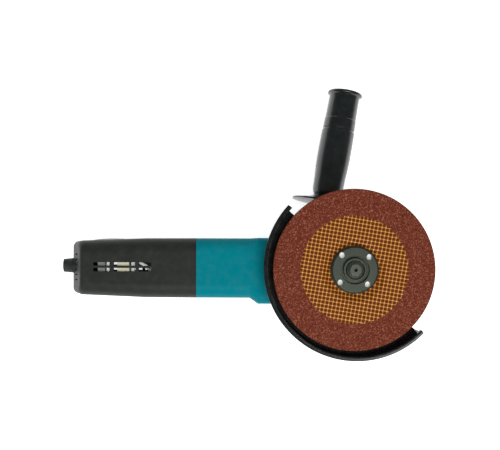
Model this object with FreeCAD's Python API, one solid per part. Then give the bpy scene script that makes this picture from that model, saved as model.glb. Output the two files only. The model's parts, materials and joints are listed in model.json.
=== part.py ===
import FreeCAD, Part
import math
import os

os.makedirs("parts", exist_ok=True)

# A 125 mm angle grinder lying on the back of its head, wheel facing up.
# The origin is the centre of the lock nut's outer face, where the pin spanner fits.
# +Z runs out along the spindle, +X from the cord end to the head, +Y towards the side handle.
# All sizes are in millimetres.

# ---------------------------------------------------------------- driving dimensions

# Clearances
running_gap = 0.06
loose_gap = 0.3
thread_gap = 0.1

# Levels along the spindle axis
nut_thickness = 4.8
blotter_thickness = 0.5
hub_thickness = 6.0
inner_flange_thickness = 9.0
neck_to_flange_gap = 1.0
neck_length = 8.0
box_flange_thickness = 6.0
seat_to_motor_axis = 53.9
head_back_depth = 30.0

# Grinding wheel
wheel_radius = 62.5
wheel_bore_radius = 11.12
wheel_depression = 2.7
wheel_flat_radius = 19.5
wheel_slope_length = 5.0
mesh_radius = 41.6
mesh_thickness = 0.4
bore_ring_wall = 0.5
bore_ring_lip_radius = 15.0
bore_ring_lip = 0.4

# Clamping flanges
inner_flange_radius = 21.0
inner_seat_radius = 15.0
flange_pilot_gap = 0.12
flange_pilot_length = 2.8
nut_radius = 18.5
nut_face_radius = 17.0
nut_edge_drop = 1.3
nut_boss_radius = 9.2
nut_groove_outer = 11.0
nut_groove_depth = 1.6
nut_hole_circle = 29.7
nut_hole_radius = 2.4
nut_hole_count = 4
nut_turn = -3.5
blotter_radius = 17.7

# Spindle
thread_radius = 7.0
spindle_proud = 2.7
spindle_tip_radius = 4.3
spindle_chamfer = 1.6
centre_hole_radius = 1.4
centre_hole_depth = 4.0
collar_radius = 8.5
shaft_radius = 6.0
journal_radius = 4.0
journal_length = 8.5

# Bevel gears
gear_module = 1.25
gear_teeth = 37
pinion_teeth = 11
pressure_angle = 20.0
tooth_length = 7.0
tooth_backlash = 0.12
gear_addendum = 0.6
gear_dedendum = 1.55
pinion_addendum = 1.2
pinion_dedendum = 1.0
gear_web = 4.0
gear_hub_radius = 9.0

# Bearings: bore radius, outer radius, width, ball radius
spindle_bearing_bore = 6.0
spindle_bearing_outer = 16.0
spindle_bearing_width = 10.0
spindle_ball = 3.0
front_bearing_bore = 5.0
front_bearing_outer = 13.0
front_bearing_width = 8.0
front_ball = 2.4
rear_bearing_bore = 3.5
rear_bearing_outer = 9.5
rear_bearing_width = 6.0
rear_ball = 1.75
ball_count = 7
bush_radius = 7.0

# Gear housing
head_radius = 30.0
cavity_radius = 25.5
head_chamfer = 7.0
lug_half = 28.0
lug_corner = 8.0
lug_height = 13.0
block_half_width = 26.0
flange_thickness = 5.0
box_spigot_length = 6.0
box_screw_offset = 21.5
screw_radius = 2.0
cap_head_radius = 3.4
cap_head_height = 3.0

# Spindle lock
lock_offset = 12.5
lock_pin_radius = 2.25
lock_hole_radius = 2.6
lock_button_radius = 6.5
lock_button_height = 3.0
lock_button_recess = 1.0
lock_tip_gap = 1.5
lock_pocket_depth = 8.0
lock_spring_radius = 3.6
lock_spring_wire = 0.8
lock_spring_pocket = 5.0
lock_spring_turns = 5

# Guard
collar_wall = 1.6
guard_plate = 1.5
guard_wheel_gap = 7.7
guard_wall_radius = wheel_radius + guard_wheel_gap
guard_wall = 1.6
guard_lip_drop = 2.2
guard_lip_flat = 1.3
guard_lip_round = 0.5
guard_lip_edge = 0.9
guard_lip_reach = 2.1
guard_outer_radius = guard_wall_radius + guard_lip_reach
guard_rim_above_seat = 7.1
guard_offset_x = 2.65
guard_offset_y = 1.27
guard_start = 138.5
guard_span = 176.6
guard_lip_overhang = 1.0
guard_hub_radius = 27.0
band_wall = 2.0
band_width = 5.0
band_gap = 4.0
band_ear_angle = 46.7
ear_length = 11.0
ear_thickness = 3.0
clamp_screw_radius = 2.0

# Side handle
handle_tilt = 10.1
handle_flange_x = -12.9
handle_flange_y = 55.9
handle_above_motor = 2.0
handle_collar_length = 17.0
handle_collar_radius = 11.0
handle_flange_radius = 28.3
handle_grip_radius = 14.0
handle_groove_distance = 62.7
handle_groove_width = 2.0
handle_groove_depth = 1.2
handle_cap_length = 8.0
handle_end_radius = 12.4
handle_rim_radius = 14.7
handle_rim_width = 2.8
handle_dome = 1.0
handle_length = 96.4
stud_radius = 4.0
stud_in_grip = 22.0
handle_hole_depth = 12.0
handle_boss_radius = 10.0

# Motor housing and rear cover, stations along X
joint_x = -46.0
shroud_end_x = -66.0
shoulder_front_x = -71.5
shoulder_back_x = -78.4
seam_x = -122.6
neck_end_x = -156.0
swell_x = -165.0
cover_end_x = -228.7
tube_half_width = 24.85
tube_half_height = 28.5
tube_corner = 12.0
tube_wall = 2.5
front_low_y = -29.5
front_high_y = 25.2
front_half_height = 28.5
front_corner = 8.0
housing_screw_low_y = -22.5
housing_screw_high_y = 20.5
housing_screw_z = 23.0
shroud_radius = 21.6
bulkhead_thickness = 3.0
bulkhead_hole_radius = 15.0
neck_half_width = 20.5
neck_half_height = 24.0
neck_corner = 9.0
neck_wall = 2.0
cover_wall = 2.4
cover_end_half_width = 22.3
cover_end_drop = 25.0
cover_end_round = 5.0
cover_slope_run = 10.4

# Cooling slots in the rear cover
slot_width = 2.8
slot_pitch = 4.64
slot_middle_y = 0.9
slot_starts = (-207.3, -190.4, -169.7)
slot_ends = (-192.8, -172.3, -159.4)

# Slits in the cover's rear face
grille_count = 6
grille_pitch = 4.25
grille_width = 1.2
grille_middle_y = 0.4
grille_low = 7.5
grille_high = 15.0

# Slide switch
knob_start_x = -213.2
knob_end_x = -172.5
knob_half_width = 8.0
knob_proud = 1.1
knob_travel = 7.0
pad_floor_y = 22.0
pad_thickness = 2.5
stem_x = -193.0
stem_half_length = 5.0
stem_half_width = 2.6

# Cord entry
gland_y = 1.5
gland_radius = 6.35
gland_tip_radius = 5.65
gland_length = 7.8
gland_seat_depth = 6.4
cord_radius = 3.75

# Cord clamp, switch, capacitor and leads inside the cover
clamp_back_x = -204.3
clamp_front_x = -198.3
clamp_half_width = 11.5
clamp_screw_spread = 8.0
clamp_screw_size = 1.4
switch_back_x = -186.0
switch_front_x = -160.0
switch_side_y = 14.3
switch_top = 7.5
shelf_top = 10.0
capacitor_back_x = -187.9
capacitor_front_x = -178.1
thin_lead = 1.4
thick_lead = 1.7
switch_lead_x = -195.6
motor_lead_x = -175.0
lead_ceiling = 5.4

# Motor
stator_front_x = -72.0
stator_back_x = -112.0
stator_corner = 14.0
stator_screw_y = 16.5
stator_screw_z = 20.0
stator_screw_radius = 1.9
window_outer = 19.3
window_half_height = 13.0
armature_radius = 15.0
air_gap = 0.5
slot_count = 11
commutator_radius = 10.5
commutator_front_x = -125.0
commutator_back_x = -139.0
commutator_bars = 22
shaft_end_x = -153.0
fan_radius = 20.5
fan_blades = 15
brush_x = -132.0
brush_length = 7.0
brush_thickness = 5.0
brush_wall = 1.2
brush_back = 16.0
brush_spring_radius = 1.8
brush_spring_wire = 0.5
brush_spring_turns = 3

# ---------------------------------------------------------------- derived levels

seat_z = -(nut_thickness + blotter_thickness + hub_thickness)
flange_back_z = seat_z - inner_flange_thickness
neck_end_z = flange_back_z - neck_to_flange_gap
box_top_z = neck_end_z - neck_length
box_joint_z = box_top_z - box_flange_thickness
motor_z = seat_z - seat_to_motor_axis
rest_z = motor_z - head_back_depth
wheel_back_z = seat_z + wheel_depression
wheel_face_z = wheel_back_z + hub_thickness
wheel_slope_radius = wheel_flat_radius + wheel_slope_length
spindle_end_z = spindle_proud
bearing_low_z = box_joint_z - box_spigot_length
bearing_high_z = bearing_low_z + spindle_bearing_width
gear_radius = gear_module * gear_teeth / 2
pinion_radius = gear_module * pinion_teeth / 2
gear_angle = math.atan2(gear_teeth, pinion_teeth)
pinion_angle = math.pi / 2 - gear_angle
cone_length = math.hypot(gear_radius, pinion_radius)
inner_share = (cone_length - tooth_length) / cone_length
gear_web_face_z = motor_z + pinion_radius + 2.15
ceiling_z = motor_z - 12.0
bush_low_z = ceiling_z - 8.0
front_bearing_back_x = joint_x + 2.0
front_bearing_front_x = front_bearing_back_x + front_bearing_width
rear_bearing_front_x = -146.0
rear_bearing_back_x = rear_bearing_front_x - rear_bearing_width
inner_half_width = tube_half_width - tube_wall
inner_half_height = tube_half_height - tube_wall
bulkhead_x = seam_x + bulkhead_thickness
handle_z = motor_z + handle_above_motor
collar_outer_radius = inner_flange_radius + running_gap + collar_wall
guard_back_z = neck_end_z - guard_plate
guard_rim_z = seat_z + guard_rim_above_seat
pocket_floor_z = rest_z + lock_pocket_depth
gland_collar_x = cover_end_x + gland_seat_depth
button_low_z = rest_z + lock_button_recess
button_high_z = button_low_z + lock_button_height
slot_z = motor_z + tube_half_height
lead_ceiling_z = slot_z - lead_ceiling


# ---------------------------------------------------------------- geometry helpers

def save(name, shape):
    shape.exportStep("parts/" + name + ".step")


def point(x, y, z):
    return FreeCAD.Vector(x, y, z)


def box(x0, x1, y0, y1, z0, z1):
    return Part.makeBox(x1 - x0, y1 - y0, z1 - z0, point(x0, y0, z0))


def disc_z(radius, z0, z1, x=0.0, y=0.0):
    return Part.makeCylinder(radius, z1 - z0, point(x, y, z0), point(0, 0, 1))


def disc_x(radius, x0, x1, y=0.0, z=motor_z):
    return Part.makeCylinder(radius, x1 - x0, point(x0, y, z), point(1, 0, 0))


def tube_z(outer, inner, z0, z1, x=0.0, y=0.0):
    return disc_z(outer, z0, z1, x, y).cut(disc_z(inner, z0, z1, x, y))


def tube_x(outer, inner, x0, x1):
    return disc_x(outer, x0, x1).cut(disc_x(inner, x0, x1))


def turned_z(points, sweep=360.0):
    """Revolve an outline of (radius, z) points about the spindle axis."""
    corners = [point(radius, 0, z) for radius, z in points]
    face = Part.Face(Part.makePolygon(corners + corners[:1]))
    return face.revolve(point(0, 0, 0), point(0, 0, 1), sweep)


def turned_x(points):
    """Revolve an outline of (x, radius) points about the motor axis."""
    corners = [point(x, 0, motor_z + radius) for x, radius in points]
    face = Part.Face(Part.makePolygon(corners + corners[:1]))
    return face.revolve(point(0, 0, motor_z), point(1, 0, 0), 360.0)


def joined(shapes):
    """Fuse pieces of one moulding or casting into one solid."""
    return shapes[0].multiFuse(shapes[1:]).removeSplitter()


def group(shapes):
    return Part.makeCompound(shapes)


def spun(shape, count, origin, axis, start=0.0):
    """Copies of a shape at equal turns about an axis."""
    copies = []
    for index in range(count):
        copy = shape.copy()
        copy.rotate(origin, axis, start + index * 360.0 / count)
        copies.append(copy)
    return copies


def rounded_section(x, low_y, high_y, low_z, high_z, corner):
    """A rectangle with round corners, standing across the motor axis at x."""
    diagonal = corner * math.sqrt(0.5)
    centres = (
        (high_y - corner, high_z - corner, 1, 1),
        (low_y + corner, high_z - corner, -1, 1),
        (low_y + corner, low_z + corner, -1, -1),
        (high_y - corner, low_z + corner, 1, -1),
    )
    arcs = []
    for centre_y, centre_z, side_y, side_z in centres:
        on_side = point(x, centre_y + side_y * corner, centre_z)
        on_top = point(x, centre_y, centre_z + side_z * corner)
        middle = point(x, centre_y + side_y * diagonal, centre_z + side_z * diagonal)
        ends = (on_side, on_top) if side_y == side_z else (on_top, on_side)
        arcs.append(Part.Arc(ends[0], middle, ends[1]).toShape())
    edges = []
    for index, arc in enumerate(arcs):
        following = arcs[(index + 1) % 4]
        edges.append(arc)
        edges.append(Part.makeLine(arc.valueAt(arc.LastParameter), following.valueAt(following.FirstParameter)))
    return Part.Wire(edges)


def lofted(sections):
    return Part.makeLoft(sections, True, True)


def centred_block(x0, x1, half_width, half_height, corner):
    """A straight bar of rounded-rectangle section, centred on the motor axis."""
    low = rounded_section(x0, -half_width, half_width, motor_z - half_height, motor_z + half_height, corner)
    high = rounded_section(x1, -half_width, half_width, motor_z - half_height, motor_z + half_height, corner)
    return lofted([low, high])


def hexagon_z(across_flats, z0, z1, x=0.0, y=0.0):
    radius = across_flats / math.sqrt(3)
    corners = []
    for index in range(7):
        angle = math.radians(60 * index)
        corners.append(point(x + radius * math.cos(angle), y + radius * math.sin(angle), z0))
    return Part.Face(Part.makePolygon(corners)).extrude(point(0, 0, z1 - z0))


def cap_screw(length, radius, head_radius, head_height, socket_radius):
    """A socket screw hanging below z = 0, with its head above."""
    shank = disc_z(radius, -length, 0)
    head = disc_z(head_radius, 0, head_height)
    socket = hexagon_z(socket_radius * math.sqrt(3), head_height * 0.4, head_height)
    return joined([shank, head]).cut(socket)


def placed(shape, position, direction):
    """Move a shape built along +Z so that it stands at a position and points along a direction."""
    copy = shape.copy()
    move = FreeCAD.Placement(position, FreeCAD.Rotation(point(0, 0, 1), direction))
    copy.Placement = move.multiply(copy.Placement)
    return copy


def along_handle(distance, side=1):
    """A point on the side handle's axis, at a distance from its flange."""
    tilt = math.radians(handle_tilt)
    x = handle_flange_x + distance * math.sin(tilt)
    y = handle_flange_y + distance * math.cos(tilt)
    return point(x, side * y, handle_z)


def handle_direction(side=1):
    tilt = math.radians(handle_tilt)
    return point(math.sin(tilt), side * math.cos(tilt), 0)


# ---------------------------------------------------------------- bevel gears

def involute(angle):
    return math.tan(angle) - angle


def half_tooth_width(height, teeth, cone_angle):
    """Half the tooth's width at a height above the pitch line, on the back cone's equivalent gear."""
    pitch = gear_module * teeth / math.cos(cone_angle) / 2
    base = pitch * math.cos(math.radians(pressure_angle))
    radius = pitch + height
    turn = math.acos(base / radius) if radius > base else 0.0
    half_angle = (math.pi * gear_module / 4 - tooth_backlash) / pitch
    half_angle += involute(math.radians(pressure_angle)) - involute(turn)
    return radius * half_angle


def bevel_tooth(teeth, cone_angle, low, high):
    """One straight bevel tooth, apex at the origin, gear axis +Z, pointing along +X."""
    steps = 5
    heights = [low + (high - low) * index / steps for index in range(steps + 1)]
    sides = [(height, half_tooth_width(height, teeth, cone_angle)) for height in heights]
    outline = [(height, -width) for height, width in sides]
    outline += [(height, width) for height, width in reversed(sides)]
    wires = []
    for share in (inner_share, 1.0):
        corners = []
        for height, width in outline:
            radius = cone_length * math.sin(cone_angle) + height * math.cos(cone_angle)
            along = cone_length * math.cos(cone_angle) - height * math.sin(cone_angle)
            corners.append(point(share * radius, share * width, share * along))
        wires.append(Part.makePolygon(corners + corners[:1]))
    return Part.makeLoft(wires, True, True)


def root_point(cone_angle, height, share):
    """A (radius, distance from apex) point on a gear's root cone."""
    radius = cone_length * math.sin(cone_angle) + height * math.cos(cone_angle)
    along = cone_length * math.cos(cone_angle) - height * math.sin(cone_angle)
    return (share * radius, share * along)


def driven_gear():
    """The large bevel gear: a cone-faced disc with a hub, teeth facing the motor axis."""
    root = -gear_dedendum
    outer_r, outer_z = root_point(gear_angle, root, 1.0)
    inner_r, inner_z = root_point(gear_angle, root, inner_share)
    web_face = gear_web_face_z - motor_z
    back = web_face + gear_web
    hub_end = bearing_low_z - motor_z
    body = turned_z([
        (shaft_radius, web_face),
        (inner_r - 1.4, web_face),
        (inner_r, inner_z),
        (outer_r, outer_z),
        (outer_r - 0.4, outer_z + 2.6),
        (gear_hub_radius + 6.0, back),
        (gear_hub_radius, back),
        (gear_hub_radius, hub_end),
        (shaft_radius, hub_end),
    ])
    tooth = bevel_tooth(gear_teeth, gear_angle, root - 0.25, gear_addendum)
    half_pitch = 180.0 / gear_teeth
    teeth = spun(tooth, gear_teeth, point(0, 0, 0), point(0, 0, 1), 180.0 + half_pitch)
    gear = joined([body] + teeth)
    hole = disc_z(lock_hole_radius, web_face - 1, back + 1, lock_offset)
    for cutter in spun(hole, 4, point(0, 0, 0), point(0, 0, 1)):
        gear = gear.cut(cutter)
    gear.translate(point(0, 0, motor_z))
    return gear


def pinion():
    """The small bevel gear on the motor shaft; its teeth are cut on a cone facing the spindle."""
    root = -pinion_dedendum
    outer_r, outer_z = root_point(pinion_angle, root, 1.0)
    inner_r, inner_z = root_point(pinion_angle, root, inner_share)
    back = -front_bearing_front_x
    body = turned_z([
        (journal_radius, inner_z),
        (inner_r, inner_z),
        (outer_r, outer_z),
        (outer_r + 0.6, outer_z + 2.0),
        (outer_r - 0.6, back - 2.0),
        (front_bearing_bore + 1.5, back),
        (journal_radius, back),
    ])
    tooth = bevel_tooth(pinion_teeth, pinion_angle, root - 0.25, pinion_addendum)
    teeth = spun(tooth, pinion_teeth, point(0, 0, 0), point(0, 0, 1))
    gear = joined([body] + teeth)
    gear.rotate(point(0, 0, 0), point(0, 1, 0), -90.0)
    gear.translate(point(0, 0, motor_z))
    return gear


# ---------------------------------------------------------------- bearings

def race_radius(bore, outer):
    return (bore + outer) / 2


def ball_bearing(bore, outer, width, ball):
    """Outer ring, inner ring and balls, centred on the origin with its axis along Z."""
    middle = race_radius(bore, outer)
    land = ball * 0.62
    inner_groove = Part.makeTorus(middle, ball + 0.01)
    outer_groove = Part.makeTorus(middle, ball + running_gap)
    outer_ring = tube_z(outer, middle + land, -width / 2, width / 2).cut(outer_groove)
    inner_ring = tube_z(middle - land, bore, -width / 2, width / 2).cut(inner_groove)
    one_ball = Part.makeSphere(ball, point(middle, 0, 0))
    balls = spun(one_ball, ball_count, point(0, 0, 0), point(0, 0, 1))
    return outer_ring, inner_ring, balls


def bearing_on_spindle():
    middle = point(0, 0, (bearing_low_z + bearing_high_z) / 2)
    pieces = ball_bearing(spindle_bearing_bore, spindle_bearing_outer, spindle_bearing_width, spindle_ball)
    outer_ring, inner_ring, balls = pieces
    up = point(0, 0, 1)
    return placed(outer_ring, middle, up), placed(inner_ring, middle, up), [placed(b, middle, up) for b in balls]


def bearing_on_motor(middle_x, bore, outer, width, ball):
    middle = point(middle_x, 0, motor_z)
    outer_ring, inner_ring, balls = ball_bearing(bore, outer, width, ball)
    forward = point(1, 0, 0)
    turned_balls = [placed(b, middle, forward) for b in balls]
    return placed(outer_ring, middle, forward), placed(inner_ring, middle, forward), turned_balls


# ---------------------------------------------------------------- spindle, wheel and flanges

def spindle():
    tip_r = thread_radius - 0.8
    body = turned_z([
        (0, bush_low_z + 0.5),
        (journal_radius - 0.5, bush_low_z + 0.5),
        (journal_radius, bush_low_z + 1.0),
        (journal_radius, bush_low_z + journal_length),
        (shaft_radius, bush_low_z + journal_length + 1.0),
        (shaft_radius, bearing_high_z),
        (collar_radius, bearing_high_z),
        (collar_radius, flange_back_z),
        (thread_radius, flange_back_z),
        (thread_radius, spindle_end_z - spindle_chamfer - 1.0),
        (tip_r, spindle_end_z - spindle_chamfer),
        (spindle_tip_radius, spindle_end_z),
        (0, spindle_end_z),
    ])
    hole = disc_z(centre_hole_radius, spindle_end_z - centre_hole_depth, spindle_end_z)
    return body.cut(hole).cut(retaining_groove())


def retaining_groove():
    """The ring groove just behind the large gear."""
    return tube_z(shaft_radius + 1.0, shaft_radius - 0.7, gear_web_face_z - 1.2, gear_web_face_z)


def gear_retaining_ring():
    low = gear_web_face_z - 1.15
    ring = tube_z(shaft_radius + 1.6, shaft_radius - 0.65, low, gear_web_face_z)
    gap = box(0, shaft_radius + 3, -2.0, 2.0, low - 1, gear_web_face_z + 1)
    return ring.cut(gap)


def spindle_bush():
    return tube_z(bush_radius, journal_radius + running_gap, bush_low_z, ceiling_z)


def dust_seal():
    """Felt ring between the spindle collar and the neck."""
    return tube_z(12.0, collar_radius + running_gap, bearing_high_z + 1.5, neck_end_z - 2.0)


def inner_flange():
    """Steel flange behind the wheel: a dished disc with a raised seat and a pilot for the wheel bore."""
    pilot = wheel_bore_radius - flange_pilot_gap
    return turned_z([
        (thread_radius, flange_back_z),
        (inner_flange_radius - 4.0, flange_back_z),
        (inner_flange_radius, flange_back_z + 3.0),
        (inner_flange_radius, seat_z - 0.6),
        (inner_seat_radius, seat_z - 0.6),
        (inner_seat_radius, seat_z),
        (pilot, seat_z),
        (pilot, seat_z + flange_pilot_length - 0.5),
        (pilot - 0.5, seat_z + flange_pilot_length),
        (thread_radius, seat_z + flange_pilot_length),
    ])


def mesh_outline(depth):
    """Outline of the glass mesh sheet, following the wheel's dished front face."""
    hub_z = seat_z + hub_thickness
    return [
        (bore_ring_lip_radius + 0.2, hub_z),
        (wheel_flat_radius, hub_z),
        (wheel_slope_radius, wheel_face_z),
        (mesh_radius, wheel_face_z),
        (mesh_radius, wheel_face_z - depth),
        (wheel_slope_radius + depth * 0.6, wheel_face_z - depth),
        (wheel_flat_radius + depth * 0.6, hub_z - depth),
        (bore_ring_lip_radius + 0.2, hub_z - depth),
    ]


def grinding_wheel():
    """Depressed-centre wheel: flat hub, a short cone and the flat grinding ring."""
    hub_z = seat_z + hub_thickness
    body = turned_z([
        (wheel_bore_radius + bore_ring_wall, seat_z),
        (wheel_flat_radius + 5.0, seat_z),
        (wheel_slope_radius + 5.0, wheel_back_z),
        (wheel_radius - 0.8, wheel_back_z),
        (wheel_radius, wheel_back_z + 0.8),
        (wheel_radius, wheel_face_z - 0.6),
        (wheel_radius - 0.6, wheel_face_z),
        (wheel_slope_radius, wheel_face_z),
        (wheel_flat_radius, hub_z),
        (bore_ring_lip_radius, hub_z),
        (bore_ring_lip_radius, hub_z - bore_ring_lip),
        (wheel_bore_radius + bore_ring_wall, hub_z - bore_ring_lip),
    ])
    return body.cut(turned_z(mesh_outline(mesh_thickness)))


def wheel_bore_ring():
    """Pressed metal ring that lines the wheel's bore, with a lip on the front."""
    hub_z = seat_z + hub_thickness
    return turned_z([
        (wheel_bore_radius, seat_z),
        (wheel_bore_radius + bore_ring_wall, seat_z),
        (wheel_bore_radius + bore_ring_wall, hub_z - bore_ring_lip),
        (bore_ring_lip_radius, hub_z - bore_ring_lip),
        (bore_ring_lip_radius, hub_z),
        (wheel_bore_radius, hub_z),
    ])


def paper_blotter():
    hub_z = seat_z + hub_thickness
    return tube_z(blotter_radius, wheel_bore_radius, hub_z, hub_z + blotter_thickness)


def lock_nut():
    """Round M14 nut with four spanner holes and a raised boss ringed by a groove."""
    low = -nut_thickness
    bore = thread_radius + thread_gap
    pilot = wheel_bore_radius - flange_pilot_gap
    body = turned_z([
        (bore, low - 2.4),
        (pilot, low - 2.4),
        (pilot, low),
        (nut_radius, low),
        (nut_radius, -nut_edge_drop),
        (nut_face_radius, 0),
        (nut_groove_outer, 0),
        (nut_groove_outer - 0.3, -nut_groove_depth),
        (nut_boss_radius, -nut_groove_depth),
        (nut_boss_radius, 0.2),
        (nut_boss_radius - 0.4, 0.6),
        (bore + 0.4, 0.6),
        (bore, 0.2),
    ])
    hole = disc_z(nut_hole_radius, low - 1, 1, nut_hole_circle / 2)
    start = 180.0 / nut_hole_count + nut_turn
    for cutter in spun(hole, nut_hole_count, point(0, 0, 0), point(0, 0, 1), start):
        body = body.cut(cutter)
    return body


# ---------------------------------------------------------------- gear housing and bearing box

def handle_boss(side):
    """Round boss on the side of the head, drilled for the side handle's stud."""
    length = 17.0
    start = along_handle(-handle_collar_length - length, side)
    return Part.makeCylinder(handle_boss_radius, length, start, handle_direction(side))


def handle_hole(side):
    start = along_handle(-handle_collar_length - handle_hole_depth, side)
    return Part.makeCylinder(stud_radius, handle_hole_depth + 1, start, handle_direction(side))


def lug_block(z0, z1):
    """The square-cornered land that carries the four bearing-box screws."""
    straight = 2 * lug_half - 2 * lug_corner
    half = straight / 2
    pieces = [box(-lug_half, lug_half, -half, half, z0, z1), box(-half, half, -lug_half, lug_half, z0, z1)]
    for x in (-half, half):
        for y in (-half, half):
            pieces.append(disc_z(lug_corner, z0, z1, x, y))
    return joined(pieces)


def box_screw_places():
    return [(x, y) for x in (-box_screw_offset, box_screw_offset) for y in (-box_screw_offset, box_screw_offset)]


def housing_screw_places():
    return [
        (y, motor_z + side * housing_screw_z)
        for y in (housing_screw_low_y, housing_screw_high_y)
        for side in (-1, 1)
    ]


def gear_housing():
    """Cast head: a round gear case, a block for the motor's front bearing and a joint flange."""
    head = turned_z([
        (0, rest_z),
        (head_radius - head_chamfer, rest_z),
        (head_radius - head_chamfer * 0.3, rest_z + head_chamfer * 0.3),
        (head_radius, rest_z + head_chamfer),
        (head_radius, box_joint_z),
        (0, box_joint_z),
    ])
    lugs = lug_block(box_joint_z - lug_height, box_joint_z)
    block = lofted([
        rounded_section(x, -block_half_width, block_half_width, rest_z + 1.0, box_joint_z, front_corner)
        for x in (joint_x + flange_thickness, 0)
    ])
    flange = lofted([
        rounded_section(x, front_low_y, front_high_y, motor_z - front_half_height,
                        motor_z + front_half_height, front_corner)
        for x in (joint_x, joint_x + flange_thickness)
    ])
    body = joined([head, lugs, block, flange, handle_boss(1), handle_boss(-1)])
    groove = tube_z(cavity_radius, 17.5, ceiling_z - 7.0, ceiling_z)
    cutters = [
        disc_z(cavity_radius, ceiling_z, box_joint_z + 1),
        groove,
        disc_z(bush_radius, bush_low_z, ceiling_z + 1),
        disc_z(lock_button_radius + running_gap, rest_z - 1, pocket_floor_z, lock_offset),
        disc_z(lock_spring_radius + 0.7, rest_z, pocket_floor_z + lock_spring_pocket, lock_offset),
        disc_z(lock_pin_radius + running_gap, rest_z, ceiling_z + 1, lock_offset),
        disc_x(front_bearing_outer + 4.0, joint_x - 1, front_bearing_back_x),
        disc_x(front_bearing_outer, joint_x, front_bearing_front_x),
        disc_x(front_bearing_outer - 2.5, joint_x, -12.0),
        handle_hole(1),
        handle_hole(-1),
    ]
    for y, z in housing_screw_places():
        cutters.append(disc_x(cap_head_radius + loose_gap, joint_x + flange_thickness + 3, -19.0, y, z))
        cutters.append(disc_x(screw_radius + thread_gap, joint_x - 1, joint_x + 9, y, z))
    for x, y in box_screw_places():
        cutters.append(disc_z(screw_radius, box_joint_z - 12, box_joint_z + 1, x, y))
    for side in (-1, 1):
        cutters.append(disc_x(1.25, joint_x - 1, joint_x + 8, side * 15.2))
    return body.cut(cutters)


def bearing_box():
    """Cover of the gear case, with the spindle bearing's seat and the neck the guard turns on."""
    body = turned_z([
        (spindle_bearing_outer, bearing_low_z),
        (cavity_radius, bearing_low_z),
        (cavity_radius, box_top_z),
        (inner_flange_radius, box_top_z),
        (inner_flange_radius, neck_end_z),
        (12.0, neck_end_z),
        (12.0, bearing_high_z + 1.5),
        (10.0, bearing_high_z + 1.5),
        (10.0, bearing_high_z),
        (spindle_bearing_outer, bearing_high_z),
    ])
    plate = lug_block(box_joint_z, box_top_z).cut(disc_z(cavity_radius - 1, box_joint_z - 1, box_top_z + 1))
    body = joined([body, plate])
    for x, y in box_screw_places():
        body = body.cut(disc_z(screw_radius + thread_gap, box_joint_z - 1, box_top_z + 1, x, y))
        body = body.cut(disc_z(cap_head_radius + loose_gap, box_top_z - cap_head_height, box_top_z + 1, x, y))
    return body


def bearing_box_screws():
    screw = cap_screw(box_flange_thickness - cap_head_height + 11.0, screw_radius, cap_head_radius,
                      cap_head_height, 1.6)
    up = point(0, 0, 1)
    places = [point(x, y, box_top_z - cap_head_height) for x, y in box_screw_places()]
    return group([placed(screw, place, up) for place in places])


def gear_housing_screws():
    screw = cap_screw(24.0, screw_radius, cap_head_radius, cap_head_height, 1.6)
    forward = point(1, 0, 0)
    head_x = joint_x + flange_thickness + 3
    places = [point(head_x, y, z) for y, z in housing_screw_places()]
    return group([placed(screw, place, forward) for place in places])


def bearing_retainer():
    """Thin plate that keeps the front motor bearing in its seat."""
    plate = tube_x(front_bearing_outer + 4.0, front_bearing_bore + 3.0, joint_x, front_bearing_back_x)
    for side in (-1, 1):
        plate = plate.cut(disc_x(1.25, joint_x - 1, joint_x + 3, side * 15.2))
    return plate


def retainer_screws():
    screw = cap_screw(8.0, 1.25, 2.2, 1.2, 0.8)
    backward = point(-1, 0, 0)
    return group([placed(screw, point(joint_x, side * 15.2, motor_z), backward) for side in (-1, 1)])


# ---------------------------------------------------------------- spindle lock

def lock_button():
    body = turned_z([
        (0, button_low_z),
        (lock_button_radius - 1.0, button_low_z),
        (lock_button_radius, button_low_z + 0.8),
        (lock_button_radius, button_high_z),
        (0, button_high_z),
    ])
    body.translate(point(lock_offset, 0, 0))
    return body.cut(disc_z(lock_pin_radius, button_high_z - 1.5, button_high_z + 1, lock_offset))


def lock_pin():
    tip = gear_web_face_z - lock_tip_gap
    pin = turned_z([
        (0, button_high_z - 1.5),
        (lock_pin_radius, button_high_z - 1.5),
        (lock_pin_radius, tip - 0.6),
        (lock_pin_radius - 0.6, tip),
        (0, tip),
    ])
    pin.translate(point(lock_offset, 0, 0))
    return pin


def coil_spring(radius, wire, length, turns):
    """A coil of square wire along +Z from the origin."""
    half = wire / 2
    pitch = (length - wire) / turns
    path = Part.Wire(Part.makeHelix(pitch, length - wire, radius).Edges)
    corners = [
        point(radius + side_x * half, 0, side_z * half)
        for side_x, side_z in ((-1, -1), (1, -1), (1, 1), (-1, 1), (-1, -1))
    ]
    coil = path.makePipeShell([Part.makePolygon(corners)], True, True)
    coil.translate(point(0, 0, half))
    return coil


def lock_spring():
    low = button_high_z
    high = pocket_floor_z + lock_spring_pocket
    return placed(coil_spring(lock_spring_radius, lock_spring_wire, high - low, lock_spring_turns),
                  point(lock_offset, 0, low), point(0, 0, 1))


# ---------------------------------------------------------------- guard

def on_guard_centre(piece, start):
    """Turn a swept piece to its start angle and move it onto the guard's own centre."""
    piece.rotate(point(0, 0, 0), point(0, 0, 1), start)
    piece.translate(point(guard_offset_x, guard_offset_y, 0))
    return piece


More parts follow.
